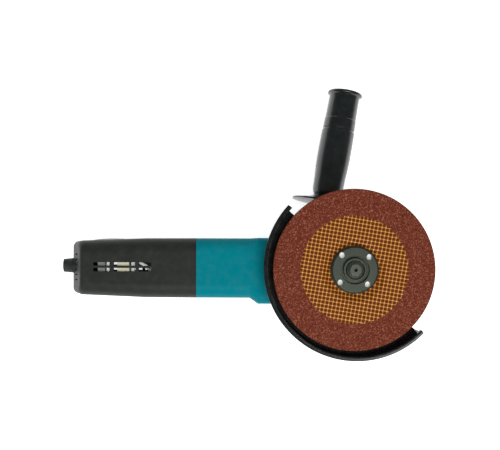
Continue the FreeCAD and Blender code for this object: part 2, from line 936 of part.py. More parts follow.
def guard_shell():
    """Pressed steel half guard: back plate, outer wall, turned lip and the collar round the neck."""
    inner_wall = guard_wall_radius - guard_wall
    lip_low = guard_rim_z - guard_lip_drop
    plate = turned_z([
        (0, guard_back_z),
        (guard_wall_radius - 2.0, guard_back_z),
        (guard_wall_radius, guard_back_z + 2.0),
        (guard_wall_radius, lip_low),
        (inner_wall, lip_low),
        (inner_wall, neck_end_z + 1.2),
        (inner_wall - 1.2, neck_end_z),
        (0, neck_end_z),
    ], guard_span)
    plate = on_guard_centre(plate, guard_start)
    lip = turned_z([
        (inner_wall, lip_low - guard_wall),
        (guard_wall_radius, lip_low - guard_wall),
        (guard_outer_radius, lip_low - guard_lip_edge),
        (guard_outer_radius, lip_low),
        (inner_wall + guard_lip_flat, guard_rim_z),
        (inner_wall + guard_lip_round, guard_rim_z),
        (inner_wall, guard_rim_z - guard_lip_round),
    ], guard_span + 2 * guard_lip_overhang)
    lip = on_guard_centre(lip, guard_start - guard_lip_overhang)
    hub = disc_z(guard_hub_radius, guard_back_z, neck_end_z)
    collar = disc_z(collar_outer_radius, box_top_z + loose_gap, neck_end_z)
    shell = joined([plate, lip, hub, collar])
    return shell.cut(disc_z(inner_flange_radius + running_gap, box_top_z - 1, neck_end_z + 1))


def clamp_frame(shape):
    """Turn a clamp piece built on the +X side to where the ears point."""
    shape.rotate(point(0, 0, 0), point(0, 0, 1), band_ear_angle)
    return shape


def band_levels():
    high = guard_back_z - 0.4
    return high - band_width, high


def clamp_hole(radius, y0, y1):
    low, high = band_levels()
    start = point(collar_outer_radius + band_wall + ear_length * 0.55, y0, (low + high) / 2)
    return Part.makeCylinder(radius, y1 - y0, start, point(0, 1, 0))


def guard_band():
    """Split steel band round the guard's collar, drawn tight by a screw through two ears."""
    low, high = band_levels()
    outer = collar_outer_radius + band_wall
    ring = tube_z(outer, collar_outer_radius, low, high)
    ears = [
        box(outer - 1.0, outer + ear_length, side * (band_gap / 2 + ear_thickness / 2) - ear_thickness / 2,
            side * (band_gap / 2 + ear_thickness / 2) + ear_thickness / 2, low, high)
        for side in (-1, 1)
    ]
    gap = box(0, outer + 1, -band_gap / 2, band_gap / 2, low - 1, high + 1)
    reach = band_gap / 2 + ear_thickness + 1
    band = joined([ring] + ears).cut(gap).cut(clamp_hole(clamp_screw_radius, -reach, reach))
    return clamp_frame(band)


def guard_clamp_screw():
    ear_face = band_gap / 2 + ear_thickness
    low, high = band_levels()
    screw = cap_screw(2 * ear_face + 5.0, clamp_screw_radius, 2.4, 2.5, 1.2)
    x = collar_outer_radius + band_wall + ear_length * 0.55
    return clamp_frame(placed(screw, point(x, -ear_face, (low + high) / 2), point(0, -1, 0)).copy())


def guard_clamp_nut():
    ear_face = band_gap / 2 + ear_thickness
    low, high = band_levels()
    nut = hexagon_z(4.8, 0, 3.0).cut(disc_z(clamp_screw_radius, -1, 4))
    x = collar_outer_radius + band_wall + ear_length * 0.55
    return clamp_frame(placed(nut, point(x, ear_face, (low + high) / 2), point(0, 1, 0)).copy())


# ---------------------------------------------------------------- side handle

def curve_through(points):
    spline = Part.BSplineCurve()
    spline.interpolate([point(radius, 0, s) for radius, s in points])
    return spline.toShape()


def line_chain(points):
    corners = [point(radius, 0, s) for radius, s in points]
    return [Part.makeLine(a, b) for a, b in zip(corners, corners[1:])]


def handle_grip():
    """Moulded grip turned about its own axis: collar, wide flange, waisted grip and flared end."""
    groove_low = handle_groove_distance - handle_groove_width / 2
    groove_high = handle_groove_distance + handle_groove_width / 2
    cap_end = groove_high + handle_cap_length
    rim_low = handle_length - handle_dome - handle_rim_width
    rim_middle = rim_low + handle_rim_width / 2
    waist = handle_collar_radius - 0.3
    neck = [
        (0, -handle_collar_length),
        (handle_collar_radius, -handle_collar_length),
        (handle_collar_radius, -2.4),
        (handle_flange_radius, -0.7),
        (handle_flange_radius, 0.7),
        (handle_collar_radius + 3.0, 3.6),
        (waist, 5.6),
    ]
    barrel = [
        (waist, 5.6),
        (handle_grip_radius - 1.9, 8.4),
        (handle_grip_radius - 1.1, 16.0),
        (handle_grip_radius - 0.25, 31.0),
        (handle_grip_radius, 46.0),
        (handle_grip_radius - 0.2, groove_low),
    ]
    cap = [
        (handle_grip_radius - 0.2, groove_low),
        (handle_grip_radius - handle_groove_depth, groove_low + 0.4),
        (handle_grip_radius - handle_groove_depth, groove_high - 0.4),
        (handle_grip_radius - 0.5, groove_high),
        (handle_grip_radius - 0.7, cap_end),
        (handle_grip_radius - 1.0, cap_end + 0.4),
        (handle_end_radius + 0.3, rim_low - 3.0),
        (handle_end_radius + 0.5, rim_low - 0.6),
        (handle_rim_radius - 0.9, rim_low),
    ]
    rim = Part.Arc(
        point(handle_rim_radius - 0.9, 0, rim_low),
        point(handle_rim_radius, 0, rim_middle),
        point(handle_rim_radius - 0.9, 0, rim_low + handle_rim_width),
    )
    dome_edge = handle_rim_radius - 0.9
    dome_radius = (dome_edge ** 2 + handle_dome ** 2) / (2 * handle_dome)
    half_turn = math.asin(dome_edge / dome_radius) / 2
    dome = Part.Arc(
        point(dome_edge, 0, handle_length - handle_dome),
        point(dome_radius * math.sin(half_turn), 0, handle_length - dome_radius * (1 - math.cos(half_turn))),
        point(0, 0, handle_length),
    )
    edges = line_chain(neck) + [curve_through(barrel)] + line_chain(cap)
    edges += [rim.toShape(), dome.toShape()]
    edges += line_chain([(0, handle_length), neck[0]])
    face = Part.Face(Part.Wire(edges))
    body = face.revolve(point(0, 0, 0), point(0, 0, 1), 360.0)
    body = body.cut(disc_z(stud_radius, -handle_collar_length - 1, stud_in_grip))
    return placed(body, along_handle(0), handle_direction())


def handle_stud():
    low = -handle_collar_length - handle_hole_depth + 0.5
    stud = turned_z([
        (0, low),
        (stud_radius - 0.8, low),
        (stud_radius, low + 0.8),
        (stud_radius, stud_in_grip),
        (0, stud_in_grip),
    ])
    return placed(stud, along_handle(0), handle_direction())


# ---------------------------------------------------------------- motor housing

def motor_housing():
    """Moulded tube round the motor, wider at the front, with a narrower neck for bearing and brushes."""
    front = [
        rounded_section(x, front_low_y, front_high_y, motor_z - front_half_height,
                        motor_z + front_half_height, front_corner)
        for x in (joint_x, shoulder_front_x)
    ]
    back = [
        rounded_section(x, -tube_half_width, tube_half_width, motor_z - tube_half_height,
                        motor_z + tube_half_height, tube_corner)
        for x in (shoulder_back_x, seam_x)
    ]
    body = joined([
        lofted(front),
        lofted([front[1], back[0]]),
        lofted(back),
        centred_block(neck_end_x, bulkhead_x, neck_half_width, neck_half_height, neck_corner),
    ])
    half = neck_half_width - neck_wall
    tall = neck_half_height - neck_wall
    cutters = [
        disc_x(shroud_radius, shroud_end_x, joint_x + 1),
        centred_block(bulkhead_x, shroud_end_x, inner_half_width, inner_half_height, tube_corner - tube_wall),
        disc_x(bulkhead_hole_radius, seam_x - 1, bulkhead_x + 1),
        centred_block(neck_end_x + 2, seam_x, half, tall, neck_corner - neck_wall),
    ]
    for y, z in housing_screw_places():
        cutters.append(disc_x(screw_radius, joint_x - 17, joint_x + 1, y, z))
    for side_y in (-1, 1):
        for side_z in (-1, 1):
            cutters.append(disc_x(stator_screw_radius, bulkhead_x - 4, bulkhead_x + 1,
                                  side_y * stator_screw_y, motor_z + side_z * stator_screw_z))
    body = body.cut(cutters)
    cup = tube_x(rear_bearing_outer + 4.0, rear_bearing_outer + 2.0, neck_end_x + 1, rear_bearing_front_x)
    boss_top = motor_z - neck_half_height + 10.0
    boss = disc_z(4.0, motor_z - neck_half_height, boss_top, cover_screw_x())
    ribs = [
        box(neck_end_x + 1, neck_end_x + 4, side * 13.0 - 1.0, side * 13.0 + 1.0, motor_z - tall, motor_z + tall)
        for side in (-1, 1)
    ]
    body = joined([body, cup, boss] + ribs)
    windows = []
    for side in (-1, 1):
        windows.append(box(neck_end_x - 1, neck_end_x + 3, side * 16.0 - 1.5, side * 16.0 + 1.5,
                           motor_z - 12.0, motor_z + 12.0))
        windows.append(brush_window(side))
    windows.append(disc_z(1.5, motor_z - neck_half_height - 1, boss_top - 1, cover_screw_x()))
    return body.cut(windows)


def cover_screw_x():
    return (seam_x + neck_end_x) / 2


def brush_window(side):
    half_x = brush_length / 2 + brush_wall
    half_z = brush_thickness / 2 + brush_wall
    low = min(side * 12.0, side * (neck_half_width + 1))
    high = max(side * 12.0, side * (neck_half_width + 1))
    return box(brush_x - half_x, brush_x + half_x, low, high, motor_z - half_z, motor_z + half_z)


def brush_holders():
    """Two boxes that guide the carbon brushes onto the commutator."""
    holders = []
    half_x = brush_length / 2 + brush_wall
    half_z = brush_thickness / 2 + brush_wall
    for side in (-1, 1):
        low = min(side * 12.2, side * neck_half_width)
        high = max(side * 12.2, side * neck_half_width)
        shell = box(brush_x - half_x, brush_x + half_x, low, high, motor_z - half_z, motor_z + half_z)
        inside_end = side * (neck_half_width - brush_wall)
        low = min(side * 12.0, inside_end)
        high = max(side * 12.0, inside_end)
        hollow = box(brush_x - brush_length / 2, brush_x + brush_length / 2, low, high,
                     motor_z - brush_thickness / 2, motor_z + brush_thickness / 2)
        holders.append(shell.cut(hollow))
    return group(holders)


def carbon_brushes():
    brushes = []
    for side in (-1, 1):
        low = min(side * 9.0, side * brush_back)
        high = max(side * 9.0, side * brush_back)
        brush = box(brush_x - brush_length / 2, brush_x + brush_length / 2, low, high,
                    motor_z - brush_thickness / 2, motor_z + brush_thickness / 2)
        brushes.append(brush.cut(disc_x(commutator_radius + running_gap, brush_x - 9, brush_x + 9)))
    return group(brushes)


def brush_springs():
    length = neck_half_width - brush_wall - brush_back
    coil = coil_spring(brush_spring_radius, brush_spring_wire, length, brush_spring_turns)
    return group([
        placed(coil, point(brush_x, side * brush_back, motor_z), point(0, side, 0))
        for side in (-1, 1)
    ])


def fan_baffle():
    """Ring that steers the cooling air through the fan."""
    return turned_x([
        (shroud_end_x, 14.0),
        (shroud_end_x, shroud_radius),
        (shroud_end_x + 2.0, shroud_radius),
        (shroud_end_x + 2.0, 16.0),
        (shroud_end_x + 3.4, 14.8),
        (shroud_end_x + 3.4, 14.0),
    ])


def fan():
    """Centrifugal fan: hub, back disc and swept blades."""
    low_x = shroud_end_x + 4.6
    high_x = joint_x - 4.6
    hub = disc_x(8.0, low_x, high_x)
    disc = disc_x(fan_radius, high_x - 2.0, high_x)
    blade = box(low_x, high_x - 1.0, -0.6, 0.6, motor_z + 11.0, motor_z + fan_radius - 0.3)
    blade.rotate(point(0, 0, motor_z + 15.0), point(1, 0, 0), 28.0)
    blade = blade.common(disc_x(fan_radius, low_x, high_x))
    blades = spun(blade, fan_blades, point(0, 0, motor_z), point(1, 0, 0))
    return joined([hub, disc] + blades).cut(disc_x(front_bearing_bore, low_x - 1, high_x + 1))


def armature_shaft():
    """Steel shaft, stepped down for the rear bearing and the pinion."""
    return turned_x([
        (shaft_end_x, 0),
        (shaft_end_x, rear_bearing_bore - 0.4),
        (shaft_end_x + 0.4, rear_bearing_bore),
        (rear_bearing_front_x, rear_bearing_bore),
        (rear_bearing_front_x, front_bearing_bore),
        (front_bearing_front_x, front_bearing_bore),
        (front_bearing_front_x, journal_radius),
        (pinion_front_x(), journal_radius),
        (pinion_front_x(), journal_radius - 1.0),
        (pinion_front_x() + 4.6, journal_radius - 1.0),
        (pinion_front_x() + 4.6, 0),
    ])


def pinion_front_x():
    """Where the pinion's small end stands: the inner end of its root cone."""
    return -root_point(pinion_angle, -pinion_dedendum, inner_share)[1]


def pinion_nut():
    nut = hexagon_z(7.0, 0, 3.6).cut(disc_z(journal_radius - 1.0, -1, 5))
    return placed(nut, point(pinion_front_x(), 0, motor_z), point(1, 0, 0))


def armature_slot(width, low, high):
    return box(stator_back_x - 1, stator_front_x + 1, -width / 2, width / 2, motor_z + low, motor_z + high)


def armature_core():
    """Laminated armature with a winding slot for each coil."""
    core = disc_x(armature_radius, stator_back_x, stator_front_x)
    slot = joined([armature_slot(3.4, 8.4, 13.0), armature_slot(1.4, 12.0, armature_radius + 1)])
    cutters = spun(slot, slot_count, point(0, 0, motor_z), point(1, 0, 0))
    return core.cut(cutters).cut(disc_x(front_bearing_bore, stator_back_x - 1, stator_front_x + 1))


def armature_windings():
    """Copper windings: bars in the slots, joined by a bundle at each end."""
    bar = box(stator_back_x - 1, stator_front_x + 1, -1.6, 1.6, motor_z + 8.5, motor_z + 12.9)
    bars = spun(bar, slot_count, point(0, 0, motor_z), point(1, 0, 0))
    front = turned_x([
        (stator_front_x, front_bearing_bore),
        (stator_front_x, 13.2),
        (stator_front_x + 3.0, 13.2),
        (stator_front_x + 5.0, 11.0),
        (stator_front_x + 5.0, front_bearing_bore),
    ])
    rear = turned_x([
        (stator_back_x, front_bearing_bore),
        (stator_back_x, 13.2),
        (stator_back_x - 5.0, 13.2),
        (commutator_front_x + 4.0, 10.0),
        (commutator_front_x, 9.0),
        (commutator_front_x, front_bearing_bore),
    ])
    return joined(bars + [front, rear])


def commutator():
    """Copper commutator with a shallow slit between its bars."""
    drum = tube_x(commutator_radius, front_bearing_bore, commutator_back_x, commutator_front_x)
    slit = box(commutator_back_x - 1, commutator_front_x - 2.0, -0.25, 0.25,
               motor_z + commutator_radius - 0.9, motor_z + commutator_radius + 1)
    return drum.cut(spun(slit, commutator_bars, point(0, 0, motor_z), point(1, 0, 0)))


def stator_core():
    """Laminated field frame: round bore, two poles and a window each side for the coils."""
    core = centred_block(stator_back_x, stator_front_x, inner_half_width, inner_half_height, stator_corner)
    cutters = [disc_x(armature_radius + air_gap, stator_back_x - 1, stator_front_x + 1)]
    for side in (-1, 1):
        low = min(side * 10.0, side * window_outer)
        high = max(side * 10.0, side * window_outer)
        cutters.append(box(stator_back_x - 1, stator_front_x + 1, low, high,
                           motor_z - window_half_height, motor_z + window_half_height))
        for side_z in (-1, 1):
            cutters.append(disc_x(screw_radius, stator_back_x - 1, stator_front_x + 1,
                                  side * stator_screw_y, motor_z + side_z * stator_screw_z))
    return core.cut(cutters)


def coil_block(side, x0, x1, half_width, inner, outer):
    """A block of coil between two distances from the motor axis, on one side of it."""
    low = min(motor_z + side * inner, motor_z + side * outer)
    high = max(motor_z + side * inner, motor_z + side * outer)
    return box(x0, x1, -half_width, half_width, low, high)


def field_coils():
    """One coil round each pole: straight sides in the windows, bent ends outside the frame."""
    front_end = stator_front_x + 5.5
    back_end = stator_back_x - 5.8
    front_face = stator_front_x + loose_gap
    back_face = stator_back_x - loose_gap
    coils = []
    for side in (-1, 1):
        sides = coil_block(side, back_end, front_end, window_outer, 1.5, window_half_height - 0.4)
        sides = sides.cut(coil_block(side, back_face, front_face, 13.0, 0.5, 20.0))
        back_turn = coil_block(side, back_end, back_face, 13.4, 5.0, 21.0)
        front_turn = coil_block(side, front_face, front_end, 13.4, 5.0, 21.0)
        coil = joined([sides, back_turn, front_turn])
        bore = armature_radius + air_gap + loose_gap
        coils.append(coil.cut(disc_x(bore, back_end - 1, front_end + 1)))
    return group(coils)


def stator_screws():
    screw = cap_screw(stator_front_x - bulkhead_x + 2.0, stator_screw_radius, 2.8, 2.4, 1.2)
    forward = point(1, 0, 0)
    return group([
        placed(screw, point(stator_front_x, side_y * stator_screw_y, motor_z + side_z * stator_screw_z), forward)
        for side_y in (-1, 1)
        for side_z in (-1, 1)
    ])


def rear_bearing_sleeve():
    return tube_x(rear_bearing_outer + 2.0, rear_bearing_outer, rear_bearing_back_x, rear_bearing_front_x)


# ---------------------------------------------------------------- rear cover and switch

def cover_sections(inset, first_x, last_x):
    """The cover's sections, shrunk by an inset; it swells towards the floor and narrows to its end."""
    shape = (
        (first_x, tube_half_width, tube_half_height, tube_half_height),
        (swell_x, tube_half_width - 0.2, head_back_depth, tube_half_height - 0.4),
        (last_x, cover_end_half_width, head_back_depth, cover_end_drop),
    )
    return [
        rounded_section(x, -half + inset, half - inset, motor_z - below + inset, motor_z + above - inset,
                        tube_corner - inset)
        for x, half, below, above in shape
    ]


def cover_end_wedge(inset):
    """What is cut from the wheel side of the cover's end, so that its rear face leans forward."""
    lean = math.hypot(cover_slope_run, cover_end_drop) / cover_end_drop
    foot_x = cover_end_x + inset * lean
    reach = cover_end_drop * 1.6
    outline = [
        point(foot_x, -tube_half_width - 1, motor_z),
        point(foot_x + cover_slope_run * 1.6, -tube_half_width - 1, motor_z + reach),
        point(cover_end_x - 5, -tube_half_width - 1, motor_z + reach),
        point(cover_end_x - 5, -tube_half_width - 1, motor_z),
    ]
    face = Part.Face(Part.makePolygon(outline + outline[:1]))
    return face.extrude(point(0, 2 * tube_half_width + 2, 0))


def behind_slope(place):
    """Distance in X from a place forward to the leaning rear face; near zero on the face."""
    return place.x - cover_end_x - (place.z - motor_z) * cover_slope_run / cover_end_drop


def cover_end_edges(shape):
    """The edges round the rear face, both its upright half and its leaning half."""
    chosen = []
    for edge in shape.Edges:
        span = edge.LastParameter - edge.FirstParameter
        places = [edge.valueAt(edge.FirstParameter + span * share) for share in (0.0, 0.25, 0.5, 0.75, 1.0)]
        upright = all(abs(place.x - cover_end_x) < 0.05 for place in places)
        leaning = all(abs(behind_slope(place)) < 0.05 for place in places)
        if upright != leaning:
            chosen.append(edge)
    return chosen


def cover_slots():
    """Two rows of cooling slots through the wheel side and the floor side."""
    slots = []
    for start, end in zip(slot_starts, slot_ends):
        for row in (-1, 1):
            y = slot_middle_y + row * slot_pitch / 2
            for side in (-1, 1):
                low = min(motor_z + side * 20.0, motor_z + side * 40.0)
                slot = box(start, end, y - slot_width / 2, y + slot_width / 2, low, low + 20.0)
                slots.append(slot)
    return slots


def end_grille():
    """Row of upright slits through the leaning half of the rear face."""
    middle = (grille_count - 1) / 2
    slits = []
    for index in range(grille_count):
        y = grille_middle_y + (index - middle) * grille_pitch
        slits.append(box(cover_end_x - 1, cover_end_x + 12.0, y - grille_width / 2, y + grille_width / 2,
                         motor_z + grille_low, motor_z + grille_high))
    return slits


def clamp_hole_places():
    return [gland_y - clamp_screw_spread, gland_y + clamp_screw_spread]


def clamp_middle_x():
    return (clamp_back_x + clamp_front_x) / 2


def cover_shelf(outer):
    """Shelf across the cover that carries the capacitor."""
    shelf = box(capacitor_back_x - 0.5, capacitor_front_x + 1.0, -23.0, 23.0,
                motor_z + switch_top, motor_z + shelf_top)
    return shelf.common(outer)


def rear_cover():
    """Black moulded cover over the switch, open at the front where it meets the motor housing."""
    outer = lofted(cover_sections(0.0, seam_x, cover_end_x)).cut(cover_end_wedge(0.0))
    outer = outer.makeFillet(cover_end_round, cover_end_edges(outer))
    inner = lofted(cover_sections(cover_wall, seam_x + 0.01, cover_end_x + cover_wall))
    shell = outer.cut(inner.cut(cover_end_wedge(cover_wall)))
    pad = box(knob_start_x - 5, knob_end_x + knob_travel + 5, pad_floor_y - pad_thickness,
              tube_half_width - 2.6, motor_z - 11.0, motor_z + 11.0)
    cradle = box(clamp_back_x, clamp_front_x, gland_y - clamp_half_width, gland_y + clamp_half_width,
                 motor_z - head_back_depth + 1.0, motor_z)
    boss = disc_z(5.0, motor_z - tube_half_height + 0.5, motor_z - neck_half_height, cover_screw_x())
    gland_seat = disc_x(gland_radius + 2.5, cover_end_x, gland_collar_x, gland_y).common(outer)
    body = joined([shell, pad.common(outer), cover_shelf(outer), cradle, boss, gland_seat])
    knob_pocket = box(knob_start_x - 0.6, knob_end_x + knob_travel + 0.6, pad_floor_y, tube_half_width + 5.0,
                      motor_z - knob_half_width - loose_gap, motor_z + knob_half_width + loose_gap)
    stem_slot = box(stem_x - stem_half_length - 0.5, stem_x + stem_half_length + knob_travel + 0.5,
                    pad_floor_y - 9.0, pad_floor_y + 1,
                    motor_z - stem_half_width - loose_gap, motor_z + stem_half_width + loose_gap)
    cutters = cover_slots() + end_grille() + [
        knob_pocket,
        stem_slot,
        disc_x(gland_radius - 0.6, cover_end_x - 1, gland_collar_x + 1, gland_y),
        disc_x(cord_radius, clamp_back_x - 1, clamp_front_x + 1, gland_y),
        disc_z(1.6, motor_z - 40, motor_z - neck_half_height + 1, cover_screw_x()),
        disc_z(3.4, motor_z - 40, motor_z - neck_half_height - 2.0, cover_screw_x()),
    ]
    for y in clamp_hole_places():
        cutters.append(disc_z(clamp_screw_size, motor_z - 11.0, motor_z + 1, clamp_middle_x(), y))
    return body.cut(cutters)


def rear_cover_screw():
    screw = cap_screw(9.5, 1.5, 3.0, 1.6, 1.0)
    return placed(screw, point(cover_screw_x(), 0, motor_z - neck_half_height - 2.0), point(0, 0, -1))


def switch_knob():
    """Low slider in the cover's side, with a stem through to the switch."""
    top_y = tube_half_width - 1.2 + knob_proud
    middle = (knob_start_x + knob_end_x) / 2
    radius = 90.0
    cap = box(knob_start_x, knob_end_x, pad_floor_y + running_gap, top_y,
              motor_z - knob_half_width, motor_z + knob_half_width)
    dome = Part.makeCylinder(radius, 40, point(middle, top_y - radius, motor_z - 20), point(0, 0, 1))
    crown = Part.makeCylinder(26.0, 60, point(middle - 30, top_y - 26.0, motor_z), point(1, 0, 0))
    cap = cap.common(dome).common(crown)
    stem = box(stem_x - stem_half_length, stem_x + stem_half_length, pad_floor_y - 5.0, pad_floor_y + 0.5,
               motor_z - stem_half_width, motor_z + stem_half_width)
    grooves = []
    for index in range(5):
        x = middle + (index - 2) * 3.0
        grooves.append(box(x - 0.5, x + 0.5, top_y - 0.6, top_y + 1, motor_z - 9, motor_z + 9))
    return joined([cap, stem]).cut(grooves)


def switch_rod():
    """Flat bar that carries the knob's travel to the switch."""
    return box(stem_x - stem_half_length - 1.0, switch_back_x + 6.5, switch_side_y + loose_gap,
               pad_floor_y - 5.0, motor_z - stem_half_width, motor_z + stem_half_width)


def switch_body():
    body = box(switch_back_x, switch_front_x, 1.0, switch_side_y, motor_z - 10.0, motor_z + switch_top)
    toggle = box(switch_back_x + 2.0, switch_front_x - 2.0, 4.0, 11.0, motor_z - 13.0, motor_z - 10.0)
    return joined([body, toggle])


def capacitor():
    """Suppression capacitor standing on the shelf right under the cooling slots."""
    return lofted([
        rounded_section(x, slot_middle_y - 6.5, slot_middle_y + 6.5, motor_z + shelf_top, slot_z - 5.6, 1.5)
        for x in (capacitor_back_x, capacitor_front_x)
    ])


def cord_clamp():
    """Bar that grips the cord in its cradle, with a rib up its middle."""
    bar = box(clamp_back_x, clamp_front_x, gland_y - clamp_half_width, gland_y + clamp_half_width,
              motor_z, motor_z + 12.0)
    rib = box(clamp_back_x, clamp_front_x, gland_y - 5.0, gland_y + 4.0, motor_z + 11.0, slot_z - 7.0)
    bar = joined([bar, rib])
    for y in clamp_hole_places():
        bar = bar.cut(disc_z(clamp_screw_size, motor_z - 1, motor_z + 13, clamp_middle_x(), y))
        bar = bar.cut(disc_z(2.7, motor_z + 7.0, motor_z + 13, clamp_middle_x(), y))
    return bar.cut(disc_x(cord_radius, clamp_back_x - 1, clamp_front_x + 1, gland_y))


def cord_clamp_screws():
    screw = cap_screw(17.0, clamp_screw_size, 2.4, 2.0, 1.0)
    return group([
        placed(screw, point(clamp_middle_x(), y, motor_z + 7.0), point(0, 0, 1))
        for y in clamp_hole_places()
    ])


def cord_gland():
    """Rubber sleeve that holds the cord where it leaves the cover."""
    inner_end_x = gland_collar_x + 2.2
    outline = [
        (inner_end_x, gland_radius + 1.8),
        (gland_collar_x, gland_radius + 1.8),
        (gland_collar_x, gland_radius - 0.6),
        (cover_end_x, gland_radius - 0.6),
        (cover_end_x, gland_radius),
        (cover_end_x - gland_length, gland_tip_radius),
        (cover_end_x - gland_length, cord_radius),
        (inner_end_x, cord_radius),
    ]
    gland = turned_x(outline)
    gland.translate(point(0, gland_y, 0))
    return gland


def lead(points, radius, first_way, last_way):
    """A wire of round section in straight runs with ball bends, square to the faces at its ends."""
    places = [point(*place) for place in points]
    places.insert(1, places[0] + point(*first_way) * 2 * radius)
    places.insert(-1, places[-1] - point(*last_way) * 2 * radius)
    runs = [
        Part.makeCylinder(radius, here.distanceToPoint(there), here, there - here)
        for here, there in zip(places, places[1:])
    ]
    bends = [Part.makeSphere(radius, place) for place in places[1:-1]]
    return joined(runs + bends)


def crossing(x, radius, inner_z, side):
    """Points that take a wire up, straight across under the slots and down again."""
    top = lead_ceiling_z - radius
    reach = 5.0
    return [
        (x, slot_middle_y + side * (reach + 3.0), inner_z),
        (x, slot_middle_y + side * (reach + 2.0), top - 3.0),
        (x, slot_middle_y + side * reach, top - 0.4),
        (x, slot_middle_y, top),
        (x, slot_middle_y - side * reach, top - 0.4),
        (x, slot_middle_y - side * (reach + 2.0), top - 3.0),
        (x, slot_middle_y - side * (reach + 3.0), inner_z),
    ]


def switch_lead():
    """From the switch's rear face, across under the slots, to the cord clamp."""
    middle = motor_z + 11.0
    path = [(switch_back_x, 5.0, motor_z + 1.0)]
    path += [(switch_back_x - 5.0, 6.5, motor_z + 3.0)]
    path += crossing(switch_lead_x, thin_lead, middle, 1)
    path += [(clamp_front_x, -7.5, motor_z + 4.0)]
    return lead(path, thin_lead, (-1, 0, 0), (-1, 0, 0))


def motor_lead():
    """From the top of the switch, across under the slots, to the brush end of the motor."""
    middle = motor_z + 13.0
    path = [(motor_lead_x, 8.5, motor_z + switch_top)]
    path += crossing(motor_lead_x, thick_lead, middle, 1)
    path += [
        (motor_lead_x + 5.0, -9.0, motor_z + 1.0),
        (neck_end_x - 5.0, -9.0, motor_z - 3.0),
        (neck_end_x, -9.0, motor_z - 3.0),
    ]
    return lead(path, thick_lead, (0, 0, 1), (1, 0, 0))


def filter_lead():
    """From the capacitor's front, slanting under the foremost slots, to the brush end of the motor."""
    top = lead_ceiling_z - thin_lead
    path = [
        (capacitor_front_x, slot_middle_y + 4.8, top - 4.6),
        (motor_lead_x, slot_middle_y + 5.2, top - 4.4),
        (motor_lead_x + 5.6, slot_middle_y + 3.6, top - 0.4),
        (motor_lead_x + 11.0, slot_middle_y + 0.4, top - 1.2),
        (motor_lead_x + 13.0, slot_middle_y - 2.2, top - 6.0),
        (neck_end_x - 3.5, -3.0, motor_z + 12.0),
        (neck_end_x, -3.0, motor_z + 9.0),
    ]
    return lead(path, thin_lead, (1, 0, 0), (1, 0, 0))


def motor_leads():
    """White leads between cord, switch, capacitor and motor."""
    return group([switch_lead(), motor_lead(), filter_lead()])


# ---------------------------------------------------------------- all sub-parts

def make_everything():
    save("gear_housing", gear_housing())
    save("bearing_box", bearing_box())
    save("bearing_box_screws", bearing_box_screws())
    save("gear_housing_screws", gear_housing_screws())
    save("bearing_retainer", bearing_retainer())
    save("retainer_screws", retainer_screws())
    save("spindle", spindle())
    save("driven_gear", driven_gear())
    save("gear_retaining_ring", gear_retaining_ring())
    outer_ring, inner_ring, balls = bearing_on_spindle()
    save("spindle_bearing_outer", outer_ring)
    save("spindle_bearing_inner", inner_ring)
    save("spindle_bearing_balls", group(balls))
    save("spindle_bush", spindle_bush())
    save("dust_seal", dust_seal())
    save("inner_flange", inner_flange())
    save("grinding_wheel", grinding_wheel())
    save("wheel_glass_mesh", turned_z(mesh_outline(mesh_thickness)))
    save("wheel_bore_ring", wheel_bore_ring())
    save("paper_blotter", paper_blotter())
    save("lock_nut", lock_nut())
    save("lock_button", lock_button())
    save("lock_pin", lock_pin())
    save("lock_spring", lock_spring())
    save("guard_shell", guard_shell())
    save("guard_band", guard_band())
    save("guard_clamp_screw", guard_clamp_screw())
    save("guard_clamp_nut", guard_clamp_nut())
    save("handle_grip", handle_grip())
    save("handle_stud", handle_stud())
    save("motor_housing", motor_housing())
    save("fan_baffle", fan_baffle())
    save("fan", fan())
    save("armature_shaft", armature_shaft())
    save("pinion", pinion())
    save("pinion_nut", pinion_nut())
    save("armature_core", armature_core())
    save("armature_windings", armature_windings())
    save("commutator", commutator())
    front_middle = (front_bearing_back_x + front_bearing_front_x) / 2
    outer_ring, inner_ring, front_balls = bearing_on_motor(
        front_middle, front_bearing_bore, front_bearing_outer, front_bearing_width, front_ball)
    save("front_bearing_outer", outer_ring)
    save("front_bearing_inner", inner_ring)
    rear_middle = (rear_bearing_back_x + rear_bearing_front_x) / 2
    outer_ring, inner_ring, rear_balls = bearing_on_motor(
        rear_middle, rear_bearing_bore, rear_bearing_outer, rear_bearing_width, rear_ball)
    save("rear_bearing_outer", outer_ring)
    save("rear_bearing_inner", inner_ring)
    save("armature_bearing_balls", group(front_balls + rear_balls))
    save("rear_bearing_sleeve", rear_bearing_sleeve())
    save("stator_core", stator_core())
    save("field_coils", field_coils())
    save("stator_screws", stator_screws())
    save("brush_holders", brush_holders())
    save("carbon_brushes", carbon_brushes())
    save("brush_springs", brush_springs())
    save("rear_cover", rear_cover())
    save("rear_cover_screw", rear_cover_screw())
    save("switch_body", switch_body())
    save("switch_knob", switch_knob())
    save("switch_rod", switch_rod())
    save("capacitor", capacitor())
    save("cord_clamp", cord_clamp())
    save("cord_clamp_screws", cord_clamp_screws())
    save("cord_gland", cord_gland())
    save("motor_leads", motor_leads())


make_everything()
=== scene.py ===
# %% [markdown]
# # An angle grinder, laid on its back
# The tool lies with its wheel up: a gear head, a teal motor housing and a black rear cover in
# line, a side handle screwed into the head, and a turnable guard round the wheel. The packed
# model holds the true sizes, so it is loaded first, and every number below is read from it.

